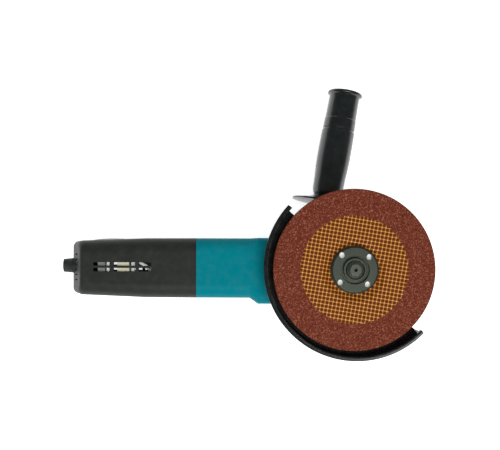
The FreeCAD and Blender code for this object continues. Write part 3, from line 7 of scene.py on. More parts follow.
# %% Load the frame
import json
import math
import bpy
import numpy as np
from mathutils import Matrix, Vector


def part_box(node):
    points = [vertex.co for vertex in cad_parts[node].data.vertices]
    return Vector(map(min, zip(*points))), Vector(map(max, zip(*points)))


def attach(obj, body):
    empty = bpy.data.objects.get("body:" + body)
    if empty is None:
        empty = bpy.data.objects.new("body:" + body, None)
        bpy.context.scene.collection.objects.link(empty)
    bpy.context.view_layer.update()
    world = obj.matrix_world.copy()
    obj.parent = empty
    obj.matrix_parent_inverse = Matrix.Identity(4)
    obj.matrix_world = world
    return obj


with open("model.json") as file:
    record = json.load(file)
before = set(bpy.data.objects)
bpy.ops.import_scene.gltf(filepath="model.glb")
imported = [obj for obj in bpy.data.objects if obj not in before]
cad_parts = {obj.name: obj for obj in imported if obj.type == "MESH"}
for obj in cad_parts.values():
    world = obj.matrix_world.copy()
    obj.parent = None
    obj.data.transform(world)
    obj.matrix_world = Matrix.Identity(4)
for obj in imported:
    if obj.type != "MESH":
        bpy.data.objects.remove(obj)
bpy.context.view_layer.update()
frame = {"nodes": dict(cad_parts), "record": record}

# %% [markdown]
# ## Sizes that the looks need
# A piece's box gives its radius and its level. The wheel turns about the Z axis through the
# origin, so half of its box is its radius.

# %% Read the main sizes
mm = 0.001
wheel_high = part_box("grinding_wheel")[1]
mesh_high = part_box("wheel_glass_mesh")[1]
blotter_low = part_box("paper_blotter")[0]
floor_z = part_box("gear_housing")[0].z
motor_z = (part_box("motor_housing")[0].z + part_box("motor_housing")[1].z) / 2
wheel_radius = wheel_high.x
wheel_face_z = wheel_high.z
hub_face_z = blotter_low.z
mesh_radius = mesh_high.x
print("wheel radius", round(wheel_radius / mm, 2), "mm; floor at", round(floor_z / mm, 2), "mm")

# %% [markdown]
# ## Small tools for shader trees
# A material is a tree of nodes. Two helpers keep its making short: one adds a node and sets its
# properties and sockets by name, the other gives a group its named inputs and outputs.

# %% Shader tree helpers
def add(tree, kind, sockets=None, **properties):
    """Add a node; set its properties by keyword and its input sockets from a dictionary."""
    node = tree.nodes.new(kind)
    for name, value in properties.items():
        setattr(node, name, value)
    for name, value in (sockets or {}).items():
        if isinstance(value, bpy.types.NodeSocket):
            tree.links.new(value, node.inputs[name])
        else:
            node.inputs[name].default_value = value
    return node


def new_group(name, inputs, outputs):
    """A shader node group with float inputs (name, value) and outputs (name, socket type)."""
    group = bpy.data.node_groups.new(name, "ShaderNodeTree")
    for label, kind, value in inputs:
        socket = group.interface.new_socket(label, in_out="INPUT", socket_type=kind)
        if value is not None:
            socket.default_value = value
    for label, kind in outputs:
        group.interface.new_socket(label, in_out="OUTPUT", socket_type=kind)
    return group, group.nodes.new("NodeGroupInput"), group.nodes.new("NodeGroupOutput")


def paint(red, green, blue):
    """A colour given as screen values from 0 to 255, turned to the linear light Blender works in."""
    screen = np.array([red, green, blue]) / 255
    linear = np.where(screen <= 0.04045, screen / 12.92, ((screen + 0.055) / 1.055) ** 2.4)
    return (*[float(v) for v in linear], 1.0)


def math_node(tree, operation, first, second=0.0, clamp=False):
    return add(tree, "ShaderNodeMath", {0: first, 1: second}, operation=operation,
               use_clamp=clamp).outputs[0]


def mix_colour(tree, share, first, second):
    node = add(tree, "ShaderNodeMix", data_type="RGBA")
    for index, value in ((0, share), (6, first), (7, second)):
        if isinstance(value, bpy.types.NodeSocket):
            tree.links.new(value, node.inputs[index])
        else:
            node.inputs[index].default_value = value
    return node.outputs[2]


FLOAT = "NodeSocketFloat"
VECTOR = "NodeSocketVector"
COLOUR = "NodeSocketColor"

# %% [markdown]
# ## Effect: fine grain
# Every moulded or cast face has a grain that the mould gave it. It is a noise in Object
# coordinates, so it keeps its real size in millimetres on every piece. A second, wide noise
# gives the slow change of tone that keeps a large face from looking painted by a machine.

# %% Build the grain group
def build_grain_group():
    """Height = fine noise; Tone = wide noise, both from 0 to 1. Size is the grain in millimetres."""
    group, entry, leave = new_group(
        "fine_grain", [("Size", FLOAT, 0.4), ("Patch", FLOAT, 18.0)], [("Height", FLOAT), ("Tone", FLOAT)])
    place = add(group, "ShaderNodeTexCoord").outputs["Object"]
    fine_scale = math_node(group, "DIVIDE", 1000.0, entry.outputs["Size"])
    wide_scale = math_node(group, "DIVIDE", 1000.0, entry.outputs["Patch"])
    fine = add(group, "ShaderNodeTexNoise", {"Vector": place, "Scale": fine_scale, "Detail": 3.0,
                                             "Roughness": 0.6})
    wide = add(group, "ShaderNodeTexNoise", {"Vector": place, "Scale": wide_scale, "Detail": 4.0,
                                             "Roughness": 0.55})
    group.links.new(fine.outputs[0], leave.inputs["Height"])
    group.links.new(wide.outputs[0], leave.inputs["Tone"])
    return group


grain_group = build_grain_group()
print("grain group has", len(grain_group.nodes), "nodes")

# %% [markdown]
# ## Effect: soft and worn edges
# No real edge is a knife edge. The Bevel node bends the normal near an edge, so light catches
# it as on a small radius, and where the bent normal leaves the true one there is an edge, which
# is also where paint and mould gloss wear first.

# %% Build the edge group
def build_edge_group():
    """Wear = edge mask broken up by noise; Normal = true normal rounded within Radius (metres)."""
    group, entry, leave = new_group(
        "edge_wear", [("Radius", FLOAT, 0.0004), ("Break", FLOAT, 3.0)],
        [("Wear", FLOAT), ("Normal", VECTOR)])
    bevel = add(group, "ShaderNodeBevel", {"Radius": entry.outputs["Radius"]}, samples=4)
    true_normal = add(group, "ShaderNodeNewGeometry").outputs["Normal"]
    dot = add(group, "ShaderNodeVectorMath", {0: bevel.outputs[0], 1: true_normal}, operation="DOT_PRODUCT")
    bend = math_node(group, "SUBTRACT", 1.0, dot.outputs["Value"], clamp=True)
    place = add(group, "ShaderNodeTexCoord").outputs["Object"]
    scale = math_node(group, "DIVIDE", 1000.0, entry.outputs["Break"])
    noise = add(group, "ShaderNodeTexNoise", {"Vector": place, "Scale": scale, "Detail": 5.0})
    strong = math_node(group, "MULTIPLY", bend, 14.0, clamp=True)
    broken = math_node(group, "SUBTRACT", noise.outputs[0], 0.38)
    broken = math_node(group, "MULTIPLY", broken, 3.2, clamp=True)
    group.links.new(math_node(group, "MULTIPLY", strong, broken), leave.inputs["Wear"])
    group.links.new(bevel.outputs[0], leave.inputs["Normal"])
    return group


edge_group = build_edge_group()

# %% [markdown]
# ## Effect: turning marks
# A lathe leaves rings round the axis it turned on. The distance from the Z axis of the incoming
# vector, cut into fine steps by a sine and a noise, gives those rings. A material turns its
# coordinates first, so that the axis of its own piece is Z.

# %% Build the turning marks group
def build_ring_group():
    """Height = half-and-half mix of a sine of the radius and a noise stretched round the axis."""
    group, entry, leave = new_group(
        "turning_marks", [("Vector", VECTOR, None), ("Pitch", FLOAT, 0.25)], [("Height", FLOAT)])
    apart = add(group, "ShaderNodeSeparateXYZ", {0: entry.outputs["Vector"]})
    square_y = math_node(group, "MULTIPLY", apart.outputs[1], apart.outputs[1])
    square = math_node(group, "MULTIPLY", apart.outputs[0], apart.outputs[0])
    radius = math_node(group, "SQRT", math_node(group, "ADD", square, square_y))
    along = math_node(group, "ADD", radius, apart.outputs[2])
    turns = math_node(group, "DIVIDE", math_node(group, "MULTIPLY", along, 6283.0), entry.outputs["Pitch"])
    wave = math_node(group, "SINE", turns)
    line = add(group, "ShaderNodeCombineXYZ", {0: along, 1: 0.0, 2: 0.0})
    noise = add(group, "ShaderNodeTexNoise", {"Vector": line.outputs[0], "Scale": 5200.0, "Detail": 2.0})
    half_wave = math_node(group, "MULTIPLY", wave, 0.22)
    group.links.new(math_node(group, "ADD", half_wave, noise.outputs[0]), leave.inputs["Height"])
    return group


ring_group = build_ring_group()

# %% [markdown]
# ## Effect: settled dust
# Workshop dust lies on what faces up and in rough places. The mask is the upward part of the
# normal times a patchy noise; a material mixes a pale tone in by it and grows rougher there.

# %% Build the dust group
def build_dust_group():
    """Mask = upward part of the normal x patchy noise x Amount."""
    group, entry, leave = new_group("settled_dust", [("Amount", FLOAT, 0.2)], [("Mask", FLOAT)])
    normal = add(group, "ShaderNodeNewGeometry").outputs["Normal"]
    up = add(group, "ShaderNodeSeparateXYZ", {0: normal}).outputs[2]
    up = math_node(group, "MAXIMUM", up, 0.0)
    place = add(group, "ShaderNodeTexCoord").outputs["Object"]
    patch = add(group, "ShaderNodeTexNoise", {"Vector": place, "Scale": 140.0, "Detail": 6.0,
                                              "Roughness": 0.7})
    specks = math_node(group, "SUBTRACT", patch.outputs[0], 0.42)
    specks = math_node(group, "MULTIPLY", specks, 2.4, clamp=True)
    lying = math_node(group, "MULTIPLY", up, specks)
    group.links.new(math_node(group, "MULTIPLY", lying, entry.outputs["Amount"]), leave.inputs["Mask"])
    return group


dust_group = build_dust_group()
print("effects ready:", [group.name for group in bpy.data.node_groups])

# %% [markdown]
# ## A finish for moulded, cast and painted pieces
# Most pieces share one recipe: a base colour that drifts a little, a grain in the bump, edges
# that are rounded and worn, and a trace of dust. Only the numbers differ from one to the next.

# %% The moulded finish
def finish_tree(name):
    """An empty material with its output and Principled shader wired up."""
    material = bpy.data.materials.new(name)
    material.use_nodes = True
    tree = material.node_tree
    shader = tree.nodes["Principled BSDF"]
    return material, tree, shader


def group_node(tree, group, sockets=None):
    node = add(tree, "ShaderNodeGroup", node_tree=group)
    for name, value in (sockets or {}).items():
        if isinstance(value, bpy.types.NodeSocket):
            tree.links.new(value, node.inputs[name])
        else:
            node.inputs[name].default_value = value
    return node


def moulded(name, colour, roughness, grain=0.4, depth=0.02, drift=0.12, worn=(0.5, 0.5, 0.5, 1.0),
            wear=0.25, edge=0.4, dust=0.05, coat=0.0, metallic=0.0, spread=0.12,
             gloss=0.5):
    """Base colour x (1 +- drift) by the wide tone, worn colour at edges, grain as bump (depth in mm)."""
    material, tree, shader = finish_tree(name)
    grains = group_node(tree, grain_group, {"Size": grain})
    edges = group_node(tree, edge_group, {"Radius": edge * mm})
    dusty = group_node(tree, dust_group, {"Amount": dust})
    dark = tuple(c * (1 - drift) for c in colour[:3]) + (1.0,)
    light = tuple(c * (1 + drift) for c in colour[:3]) + (1.0,)
    base = mix_colour(tree, grains.outputs["Tone"], dark, light)
    share = math_node(tree, "MULTIPLY", edges.outputs["Wear"], wear)
    base = mix_colour(tree, share, base, worn)
    base = mix_colour(tree, dusty.outputs["Mask"], base, paint(150, 148, 142))
    tree.links.new(base, shader.inputs["Base Color"])
    rough = math_node(tree, "MULTIPLY", grains.outputs["Tone"], spread)
    rough = math_node(tree, "ADD", rough, roughness - spread / 2)
    rough = math_node(tree, "ADD", rough, dusty.outputs["Mask"])
    tree.links.new(rough, shader.inputs["Roughness"])
    shader.inputs["Metallic"].default_value = metallic
    shader.inputs["Specular IOR Level"].default_value = gloss
    shader.inputs["Coat Weight"].default_value = coat
    shader.inputs["Coat Roughness"].default_value = 0.12
    bump = add(tree, "ShaderNodeBump", {"Strength": 0.6, "Distance": depth * mm,
                                        "Height": grains.outputs["Height"],
                                        "Normal": edges.outputs["Normal"]})
    tree.links.new(bump.outputs[0], shader.inputs["Normal"])
    return material


def turned_metal(name, colour, roughness, pitch=0.25, depth=0.01, axis="z", wear=0.3, tone=0.15):
    """Metal with lathe rings about the piece's axis; x turns the coordinates from X to Z."""
    material, tree, shader = finish_tree(name)
    grains = group_node(tree, grain_group, {"Size": 0.8, "Patch": 9.0})
    edges = group_node(tree, edge_group, {"Radius": 0.25 * mm})
    place = add(tree, "ShaderNodeTexCoord").outputs["Object"]
    turn = (0.0, -math.pi / 2, 0.0) if axis == "x" else (0.0, 0.0, 0.0)
    shift = (motor_z if axis == "x" else 0.0, 0.0, 0.0)
    mapped = add(tree, "ShaderNodeMapping", {"Vector": place, "Rotation": turn, "Location": shift})
    rings = group_node(tree, ring_group, {"Vector": mapped.outputs[0], "Pitch": pitch})
    dark = tuple(c * (1 - tone) for c in colour[:3]) + (1.0,)
    light = tuple(min(c * (1 + tone), 1) for c in colour[:3]) + (1.0,)
    base = mix_colour(tree, grains.outputs["Tone"], dark, light)
    bright = tuple(min(c * 2.2 + 0.1, 1) for c in colour[:3]) + (1.0,)
    base = mix_colour(tree, math_node(tree, "MULTIPLY", edges.outputs["Wear"], wear), base, bright)
    tree.links.new(base, shader.inputs["Base Color"])
    rough = math_node(tree, "MULTIPLY", rings.outputs["Height"], 0.14)
    tree.links.new(math_node(tree, "ADD", rough, roughness - 0.07), shader.inputs["Roughness"])
    shader.inputs["Metallic"].default_value = 1.0
    bump = add(tree, "ShaderNodeBump", {"Strength": 0.5, "Distance": depth * mm,
                                        "Height": rings.outputs["Height"],
                                        "Normal": edges.outputs["Normal"]})
    tree.links.new(bump.outputs[0], shader.inputs["Normal"])
    return material


finishes = {}

# %% [markdown]
# ## Plastics and rubber
# The motor housing is a teal moulding with a soft gloss. The rear cover is a black moulding
# with a fine matt grain, and the handle is the same black with the gloss of a polished mould.

# %% Make the plastics
white_edge = paint(120, 124, 124)
finishes["teal_plastic"] = moulded("teal_moulding", paint(0, 117, 128), 0.4, grain=0.5, depth=0.012,
                                   drift=0.015, worn=paint(30, 140, 150), gloss=0.03)
finishes["cover_plastic"] = moulded("cover_moulding", paint(38, 41, 38), 0.5, grain=0.45, depth=0.02,
                                    drift=0.08, worn=white_edge, wear=0.15, gloss=0.16)
finishes["handle_plastic"] = moulded("handle_moulding", paint(18, 22, 22), 0.3, grain=0.6, depth=0.01,
                                     worn=white_edge, wear=0.12, coat=0.3)
finishes["knob_plastic"] = moulded("knob_moulding", paint(18, 20, 22), 0.3, worn=white_edge)
finishes["button_plastic"] = moulded("button_moulding", paint(32, 34, 36), 0.4, worn=white_edge)
finishes["black_plastic"] = moulded("baffle_moulding", paint(36, 36, 36), 0.5, worn=white_edge)
finishes["fan_plastic"] = moulded("fan_moulding", paint(50, 50, 50), 0.5, worn=white_edge)
finishes["switch_plastic"] = moulded("switch_moulding", paint(70, 70, 70), 0.5, worn=white_edge)
finishes["grey_plastic"] = moulded("clamp_moulding", paint(150, 150, 150), 0.45, worn=white_edge)
finishes["cream_plastic"] = moulded("capacitor_case", paint(240, 236, 205), 0.3, drift=0.04,
                                    worn=paint(200, 195, 170))
finishes["white_wire"] = moulded("wire_insulation", paint(246, 246, 244), 0.35, drift=0.03,
                                 worn=paint(200, 200, 200))
finishes["black_rubber"] = moulded("soft_rubber", paint(26, 28, 30), 0.6, grain=0.25, depth=0.03,
                                   worn=paint(60, 60, 60), dust=0.12)
finishes["carbon"] = moulded("pressed_carbon", paint(40, 40, 44), 0.5, grain=0.15, depth=0.03)
print(len(finishes), "plastic finishes")

# %% [markdown]
# ## Cast, painted and turned metal
# The gear head is a die casting under black paint: a coarse grain under a thin coat. The guard
# is pressed steel with a glossy black coat. Turned pieces carry rings round their own axis.

# %% Make the metals
bare = paint(165, 165, 168)
finishes["cast_black"] = moulded("painted_casting", paint(34, 36, 38), 0.42, grain=0.9, depth=0.06,
                                 worn=bare, wear=0.5, edge=0.8)
finishes["cast_alu"] = moulded("bare_casting", paint(176, 177, 180), 0.42, grain=0.7, depth=0.05,
                               worn=paint(220, 220, 220), metallic=1.0, edge=0.5)
finishes["guard_paint"] = moulded("guard_coat", paint(12, 13, 13), 0.2, grain=1.6, depth=0.02,
                                  worn=bare, wear=0.25, edge=0.3, gloss=0.6)
finishes["dark_nut"] = turned_metal("phosphated_nut", paint(104, 111, 99), 0.5, pitch=0.3, depth=0.008,
                                    wear=0.15)
finishes["dark_steel"] = turned_metal("phosphated_spindle", paint(128, 132, 120), 0.45, pitch=0.4)
finishes["zinc_steel"] = turned_metal("zinc_plate", paint(205, 207, 210), 0.3, pitch=0.5, depth=0.005)
finishes["plate_steel"] = turned_metal("stamped_plate", paint(190, 190, 192), 0.35, axis="x")
finishes["screw_steel"] = turned_metal("black_oxide", paint(74, 74, 78), 0.38, pitch=0.5)
finishes["spring_steel"] = turned_metal("spring_wire", paint(180, 180, 184), 0.25, pitch=0.8)
finishes["bearing_steel"] = turned_metal("ground_steel", paint(215, 215, 218), 0.12, pitch=0.15,
                                         depth=0.002, axis="x")
finishes["gear_steel"] = turned_metal("gear_cut_steel", paint(165, 165, 168), 0.3, axis="x")
finishes["bush_bronze"] = turned_metal("sintered_bronze", paint(190, 150, 92), 0.45)
finishes["holder_brass"] = turned_metal("folded_brass", paint(205, 176, 104), 0.3)
print(len(finishes), "finishes after the metals")

# %% [markdown]
# ## Copper, laminations and felt
# Armature and stator are stacks of thin sheets, so their sides show fine lines across the
# motor's axis. Windings are bundles of enamelled wire, and the commutator is bare copper.

# %% Make the motor finishes
def striped_metal(name, colour, gap_colour, roughness, pitch, metallic, direction):
    """Lines across one axis: a saw wave of that coordinate / pitch, darkened where it is low."""
    material, tree, shader = finish_tree(name)
    place = add(tree, "ShaderNodeTexCoord").outputs["Object"]
    apart = add(tree, "ShaderNodeSeparateXYZ", {0: place})
    steps = math_node(tree, "MULTIPLY", apart.outputs[direction], 1.0 / (pitch * mm))
    saw = math_node(tree, "FRACT", steps)
    grains = group_node(tree, grain_group, {"Size": 0.5, "Patch": 6.0})
    line = math_node(tree, "GREATER_THAN", saw, 0.22)
    light = tuple(min(c * 1.2, 1) for c in colour[:3]) + (1.0,)
    base = mix_colour(tree, grains.outputs["Tone"], colour, light)
    base = mix_colour(tree, line, gap_colour, base)
    tree.links.new(base, shader.inputs["Base Color"])
    rough = math_node(tree, "MULTIPLY", grains.outputs["Tone"], 0.2)
    tree.links.new(math_node(tree, "ADD", rough, roughness - 0.1), shader.inputs["Roughness"])
    shader.inputs["Metallic"].default_value = metallic
    bump = add(tree, "ShaderNodeBump", {"Strength": 0.5, "Distance": 0.05 * mm, "Height": saw})
    tree.links.new(bump.outputs[0], shader.inputs["Normal"])
    return material


finishes["lamination_steel"] = striped_metal("stacked_sheet", paint(120, 124, 130), paint(40, 42, 46),
                                             0.4, 0.65, 1.0, 0)
finishes["enamel_copper"] = striped_metal("wound_copper", paint(176, 92, 44), paint(70, 28, 12),
                                          0.3, 0.55, 0.6, 1)
finishes["bare_copper"] = striped_metal("copper_bars", paint(214, 140, 96), paint(150, 84, 50),
                                        0.25, 1.4, 1.0, 0)
finishes["felt"] = moulded("grey_felt", paint(120, 116, 108), 0.9, grain=0.2, depth=0.12, drift=0.25)

# %% [markdown]
# ## The grinding wheel's grit
# The wheel is brown aluminium-oxide grit in red-brown resin. Up close it is a field of grains:
# dark resin, brown grains, a few pale ones that glint. A Voronoi pattern gives grains with
# their own random shade, and the same cells raise the bump.

# %% Make the grit
def grit_material():
    """Cell colour picks the grain's shade on a ramp; distance to the cell's middle is the bump."""
    material, tree, shader = finish_tree("brown_grit")
    place = add(tree, "ShaderNodeTexCoord").outputs["Object"]
    cells = add(tree, "ShaderNodeTexVoronoi", {"Vector": place, "Scale": 1000 / 0.6})
    shade = add(tree, "ShaderNodeSeparateColor", {0: cells.outputs["Color"]})
    ramp = add(tree, "ShaderNodeValToRGB", {0: shade.outputs[0]})
    stops = ((0.0, paint(60, 22, 14)), (0.4, paint(102, 47, 31)), (0.8, paint(118, 58, 40)),
             (0.985, paint(168, 110, 88)))
    ramp.color_ramp.elements.remove(ramp.color_ramp.elements[1])
    ramp.color_ramp.elements[0].color = stops[0][1]
    for position, colour in stops[1:]:
        ramp.color_ramp.elements.new(position).color = colour
    apart = add(tree, "ShaderNodeSeparateXYZ", {0: place})
    across = math_node(tree, "MULTIPLY", apart.outputs[0], apart.outputs[0])
    along = math_node(tree, "MULTIPLY", apart.outputs[1], apart.outputs[1])
    radius = math_node(tree, "SQRT", math_node(tree, "ADD", across, along))
    band = add(tree, "ShaderNodeCombineXYZ", {0: radius, 1: 0.0, 2: 0.0})
    streak = add(tree, "ShaderNodeTexNoise", {"Vector": band.outputs[0], "Scale": 420.0, "Detail": 3.0})
    tone = math_node(tree, "MULTIPLY", streak.outputs[0], 0.6)
    base = mix_colour(tree, tone, ramp.outputs[0], paint(96, 42, 30))
    tree.links.new(base, shader.inputs["Base Color"])
    rough = math_node(tree, "MULTIPLY", shade.outputs[1], 0.3)
    tree.links.new(math_node(tree, "ADD", rough, 0.6), shader.inputs["Roughness"])
    shader.inputs["Specular IOR Level"].default_value = 0.1
    height = math_node(tree, "SUBTRACT", 1.0, cells.outputs["Distance"])
    bump = add(tree, "ShaderNodeBump", {"Strength": 0.7, "Distance": 0.12 * mm, "Height": height})
    tree.links.new(bump.outputs[0], shader.inputs["Normal"])
    return material


finishes["abrasive"] = grit_material()

# %% [markdown]
# ## The glass weave
# A woven glass cloth is pressed into the wheel to hold it together. The resin between its
# threads is dark in the holes and orange where a thread lies just under it. The cloth's grid
# has a pitch of three millimetres and lies turned by some ten degrees on the wheel.

# %% Weave sizes and the resin between the threads
weave_pitch = 3.0 * mm
weave_turn = math.radians(-10.0)


def resin_material():
    """Near a grid line (cosine of the turned coordinate above a level) orange, in the holes dark."""
    material, tree, shader = finish_tree("weave_resin")
    place = add(tree, "ShaderNodeTexCoord").outputs["Object"]
    mapped = add(tree, "ShaderNodeMapping", {"Vector": place, "Rotation": (0.0, 0.0, -weave_turn)})
    apart = add(tree, "ShaderNodeSeparateXYZ", {0: mapped.outputs[0]})
    masks = []
    for side in (0, 1):
        turns = math_node(tree, "MULTIPLY", apart.outputs[side], 2 * math.pi / weave_pitch)
        wave = math_node(tree, "COSINE", turns)
        masks.append(math_node(tree, "MULTIPLY", math_node(tree, "ADD", wave, -0.1), 1.1, clamp=True))
    thread = math_node(tree, "MAXIMUM", masks[0], masks[1])
    grains = group_node(tree, grain_group, {"Size": 0.9, "Patch": 7.0})
    dark = mix_colour(tree, grains.outputs["Height"], paint(30, 9, 1), paint(112, 54, 10))
    bright = mix_colour(tree, grains.outputs["Tone"], paint(140, 80, 18), paint(162, 98, 26))
    base = mix_colour(tree, thread, dark, bright)
    tree.links.new(base, shader.inputs["Base Color"])
    rough = math_node(tree, "MULTIPLY", grains.outputs["Height"], 0.3)
    tree.links.new(math_node(tree, "ADD", rough, 0.5), shader.inputs["Roughness"])
    shader.inputs["Specular IOR Level"].default_value = 0.15
    bump = add(tree, "ShaderNodeBump", {"Strength": 0.6, "Distance": 0.1 * mm, "Height": thread})
    tree.links.new(bump.outputs[0], shader.inputs["Normal"])
    return material


def yarn_material():
    """Gold yarn streaked by noise, with a painted highlight: palest gold where |cos(pi x / pitch) cos(pi y /
    pitch)| is near 1, a glint painted onto the thread crests.
    """
    material, tree, shader = finish_tree("glass_yarn")
    grains = group_node(tree, grain_group, {"Size": 0.35, "Patch": 3.0})
    base = mix_colour(tree, grains.outputs["Tone"], paint(150, 82, 18), paint(196, 128, 56))
    base = mix_colour(tree, grains.outputs["Height"], paint(150, 86, 26), base)
    place = add(tree, "ShaderNodeTexCoord").outputs["Object"]
    mapped = add(tree, "ShaderNodeMapping", {"Vector": place, "Rotation": (0.0, 0.0, -weave_turn)})
    apart = add(tree, "ShaderNodeSeparateXYZ", {0: mapped.outputs[0]})
    waves = []
    for side in (0, 1):
        turns = math_node(tree, "MULTIPLY", apart.outputs[side], math.pi / weave_pitch)
        waves.append(math_node(tree, "COSINE", turns))
    # Painted highlight: on the thread crests a pale gold glint is mixed into the base colour.
    crest = math_node(tree, "ABSOLUTE", math_node(tree, "MULTIPLY", waves[0], waves[1]))
    painted_glint = math_node(tree, "POWER", crest, 6.0, clamp=True)
    base = mix_colour(tree, painted_glint, base, paint(242, 186, 108))
    tree.links.new(base, shader.inputs["Base Color"])
    rough = math_node(tree, "MULTIPLY", grains.outputs["Height"], 0.25)
    tree.links.new(math_node(tree, "ADD", rough, 0.25), shader.inputs["Roughness"])
    bump = add(tree, "ShaderNodeBump", {"Strength": 0.5, "Distance": 0.04 * mm,
                                        "Height": grains.outputs["Height"]})
    tree.links.new(bump.outputs[0], shader.inputs["Normal"])
    return material


finishes["glass_mesh"] = resin_material()
yarn_finish = yarn_material()
finishes["white_paper"] = moulded("blotter_paper", paint(250, 250, 247), 0.85, grain=0.2, depth=0.03,
                                  drift=0.02, worn=paint(230, 230, 228), dust=0.0)
print("finishes made:", len(finishes))

# %% [markdown]
# ## Put the finishes on the CAD nodes
# The record says which slot each node belongs to, so a loop gives each node its finish. The
# nodes' shapes stay as they are.

# %% Dress the nodes
for entry in frame["record"]["subparts"]:
    node = frame["nodes"][entry["node"]]
    node.data.materials.clear()
    node.data.materials.append(finishes[entry["material_slot"]])
print("dressed", len(frame["nodes"]), "nodes")

# %% [markdown]
# ## Meshes from arrays
# A new piece is a whole array of points and an array of four-sided faces, both worked out with
# numpy. Blender takes each array in one call, which is far quicker than adding points in a loop.

# %% Mesh helper
def mesh_piece(name, points, faces, body, material):
    """Make the object from points and four-cornered faces, shade it smooth and let it ride a body."""
    mesh = bpy.data.meshes.new(name)
    mesh.vertices.add(len(points))
    mesh.vertices.foreach_set("co", points.astype(np.float32).ravel())
    mesh.loops.add(faces.size)
    mesh.loops.foreach_set("vertex_index", faces.astype(np.int32).ravel())
    mesh.polygons.add(len(faces))
    mesh.polygons.foreach_set("loop_start", np.arange(0, faces.size, 4, dtype=np.int32))
    mesh.update(calc_edges=True)
    mesh.validate()
    mesh.polygons.foreach_set("use_smooth", np.ones(len(mesh.polygons), dtype=bool))
    mesh.materials.append(material)
    piece = bpy.data.objects.new(name, mesh)
    bpy.context.scene.collection.objects.link(piece)
    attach(piece, body)
    print(name, "has", len(mesh.polygons), "faces")
    return piece


# %% [markdown]
# ## The woven threads
# Each thread passes over one crossing thread and under the next. It is a flat oval carried
# along a straight line, lifted and lowered by a cosine of the distance, so that its high points
# meet the crossing thread's low ones. The whole cloth follows the wheel's dished face, and
# each end stops a little before or past the round edge, as cut cloth does.

# %% Weave the cloth
slope_in, slope_out = 19.5 * mm, 24.5 * mm
thread_half_width = 0.42 * mm
thread_half_height = 0.13 * mm
thread_lift = 0.12 * mm
ring = np.linspace(0, 2 * math.pi, 6, endpoint=False)
fray = np.random.default_rng(7)


def face_height(radius):
    """Height of the wheel's front: hub level, a straight cone between two radii, then ring level."""
    share = np.clip((radius - slope_in) / (slope_out - slope_in), 0, 1)
    return hub_face_z + (wheel_face_z - hub_face_z) * share


def thread_points(direction, number, low, high):
    """Points of one thread: line x = t, y = number x pitch, z = lift x cos(pi t / pitch + phase)."""
    count = max(int((high - low) / (0.5 * mm)), 3)
    along = np.linspace(low, high, count)[:, None]
    phase = math.pi * (number + direction)
    lift = thread_lift * np.cos(math.pi * along / weave_pitch + phase)
    across = number * weave_pitch + thread_half_width * np.cos(ring)[None, :] + 0 * along
    height = lift + thread_half_height * np.sin(ring)[None, :]
    run = along + 0 * across
    local_x, local_y = (run, across) if direction == 0 else (across, run)
    x = local_x * math.cos(weave_turn) - local_y * math.sin(weave_turn)
    y = local_x * math.sin(weave_turn) + local_y * math.cos(weave_turn)
    return np.stack([x, y, face_height(np.hypot(x, y)) + height], -1)


def thread_faces(count, start, flip):
    """Four-sided faces between neighbouring ovals; flip turns them outwards for the other direction."""
    rows = np.arange(count - 1)[:, None] * 6
    here = start + rows + np.arange(6)[None, :]
    beside = start + rows + (np.arange(6)[None, :] + 1) % 6
    corners = [here, here + 6, beside + 6, beside]
    return np.stack(corners[::-1] if flip else corners, -1).reshape(-1, 4)


def thread_spans(offset, inner, outer):
    """The parts of a line at an offset that lie between two circles."""
    reach = math.sqrt(max(outer ** 2 - offset ** 2, 0.0))
    hole = math.sqrt(max(inner ** 2 - offset ** 2, 0.0))
    frays = fray.uniform(-0.5 * mm, 0.4 * mm, 2)
    if hole == 0.0:
        return [(-reach + frays[0], reach + frays[1])]
    return [(-reach + frays[0], -hole), (hole, reach + frays[1])]


def woven_threads():
    """All threads in both directions, gathered as points and faces."""
    inner, outer = 17.9 * mm, mesh_radius
    count = int(outer // weave_pitch)
    points, faces, start = [], [], 0
    for direction in (0, 1):
        for number in range(-count, count + 1):
            for low, high in thread_spans(number * weave_pitch, inner, outer):
                grid = thread_points(direction, number, low, high)
                points.append(grid.reshape(-1, 3))
                faces.append(thread_faces(len(grid), start, direction == 0))
                start += grid.shape[0] * 6
    return np.concatenate(points), np.concatenate(faces)


yarn_points, yarn_faces = woven_threads()
weave = mesh_piece("glass_weave_threads", yarn_points, yarn_faces, "wheel", yarn_finish)

# %% [markdown]
# ## Floor, light and camera
# The tool lies on a pale studio floor, lit from all round by large soft lights, and the camera
# looks straight down at the wheel from about half a metre.

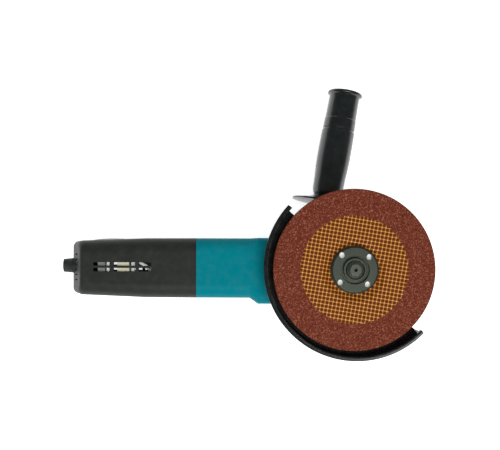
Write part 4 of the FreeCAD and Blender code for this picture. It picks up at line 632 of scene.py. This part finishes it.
# %% Floor
def studio_floor():
    size = 6.0
    mesh = bpy.data.meshes.new("studio_floor")
    corners = [(-size, -size, floor_z), (size, -size, floor_z), (size, size, floor_z), (-size, size, floor_z)]
    mesh.from_pydata(corners, [], [(0, 1, 2, 3)])
    floor = bpy.data.objects.new("studio_floor", mesh)
    bpy.context.scene.collection.objects.link(floor)
    material, tree, shader = finish_tree("floor_white")
    shader.inputs["Base Color"].default_value = (0.93, 0.93, 0.93, 1.0)
    shader.inputs["Roughness"].default_value = 0.9
    shader.inputs["Emission Color"].default_value = (1.0, 1.0, 1.0, 1.0)
    shader.inputs["Emission Strength"].default_value = 0.75
    mesh.materials.append(material)
    return floor


floor = studio_floor()

# %% Lights and world
def soft_light(name, place, aim, size, power, seen=True):
    """A rectangular light aimed at a point; seen says whether glossy faces mirror it."""
    data = bpy.data.lights.new(name, "AREA")
    data.shape = "RECTANGLE"
    data.size, data.size_y = size
    data.energy = power
    light = bpy.data.objects.new(name, data)
    light.location = place
    light.rotation_euler = (Vector(aim) - Vector(place)).to_track_quat("-Z", "Y").to_euler()
    light.visible_glossy = seen
    bpy.context.scene.collection.objects.link(light)
    return light


soft_light("key_softbox", (0.05, -0.9, 1.35), (-0.05, 0, 0), (1.2, 0.6), 16)
soft_light("top_softbox", (-0.1, -0.1, 1.6), (-0.05, 0, 0), (0.8, 0.6), 17, seen=False)
world = bpy.data.worlds.new("studio_sky")
world.use_nodes = True
world.node_tree.nodes["Background"].inputs["Color"].default_value = (0.9, 0.95, 1, 1)
world.node_tree.nodes["Background"].inputs["Strength"].default_value = 0.12
bpy.context.scene.world = world
bpy.context.scene.view_settings.view_transform = "Standard"

# %% Camera
camera_data = bpy.data.cameras.new("camera")
camera_data.sensor_width = 36.0
camera_data.lens = 50.0
camera_data.shift_x = 0.0756
camera_data.shift_y = 0.0549
camera_data.clip_start = 0.01
camera_data.clip_end = 20.0
camera = bpy.data.objects.new("camera", camera_data)
roll = math.radians(0.22)
camera.location = (-0.1095 - 0.0134 * roll, 0.0134 - 0.1095 * roll, wheel_face_z + 0.534)
camera.rotation_euler = (0.0, 0.0, roll)
bpy.context.scene.collection.objects.link(camera)
bpy.context.scene.camera = camera
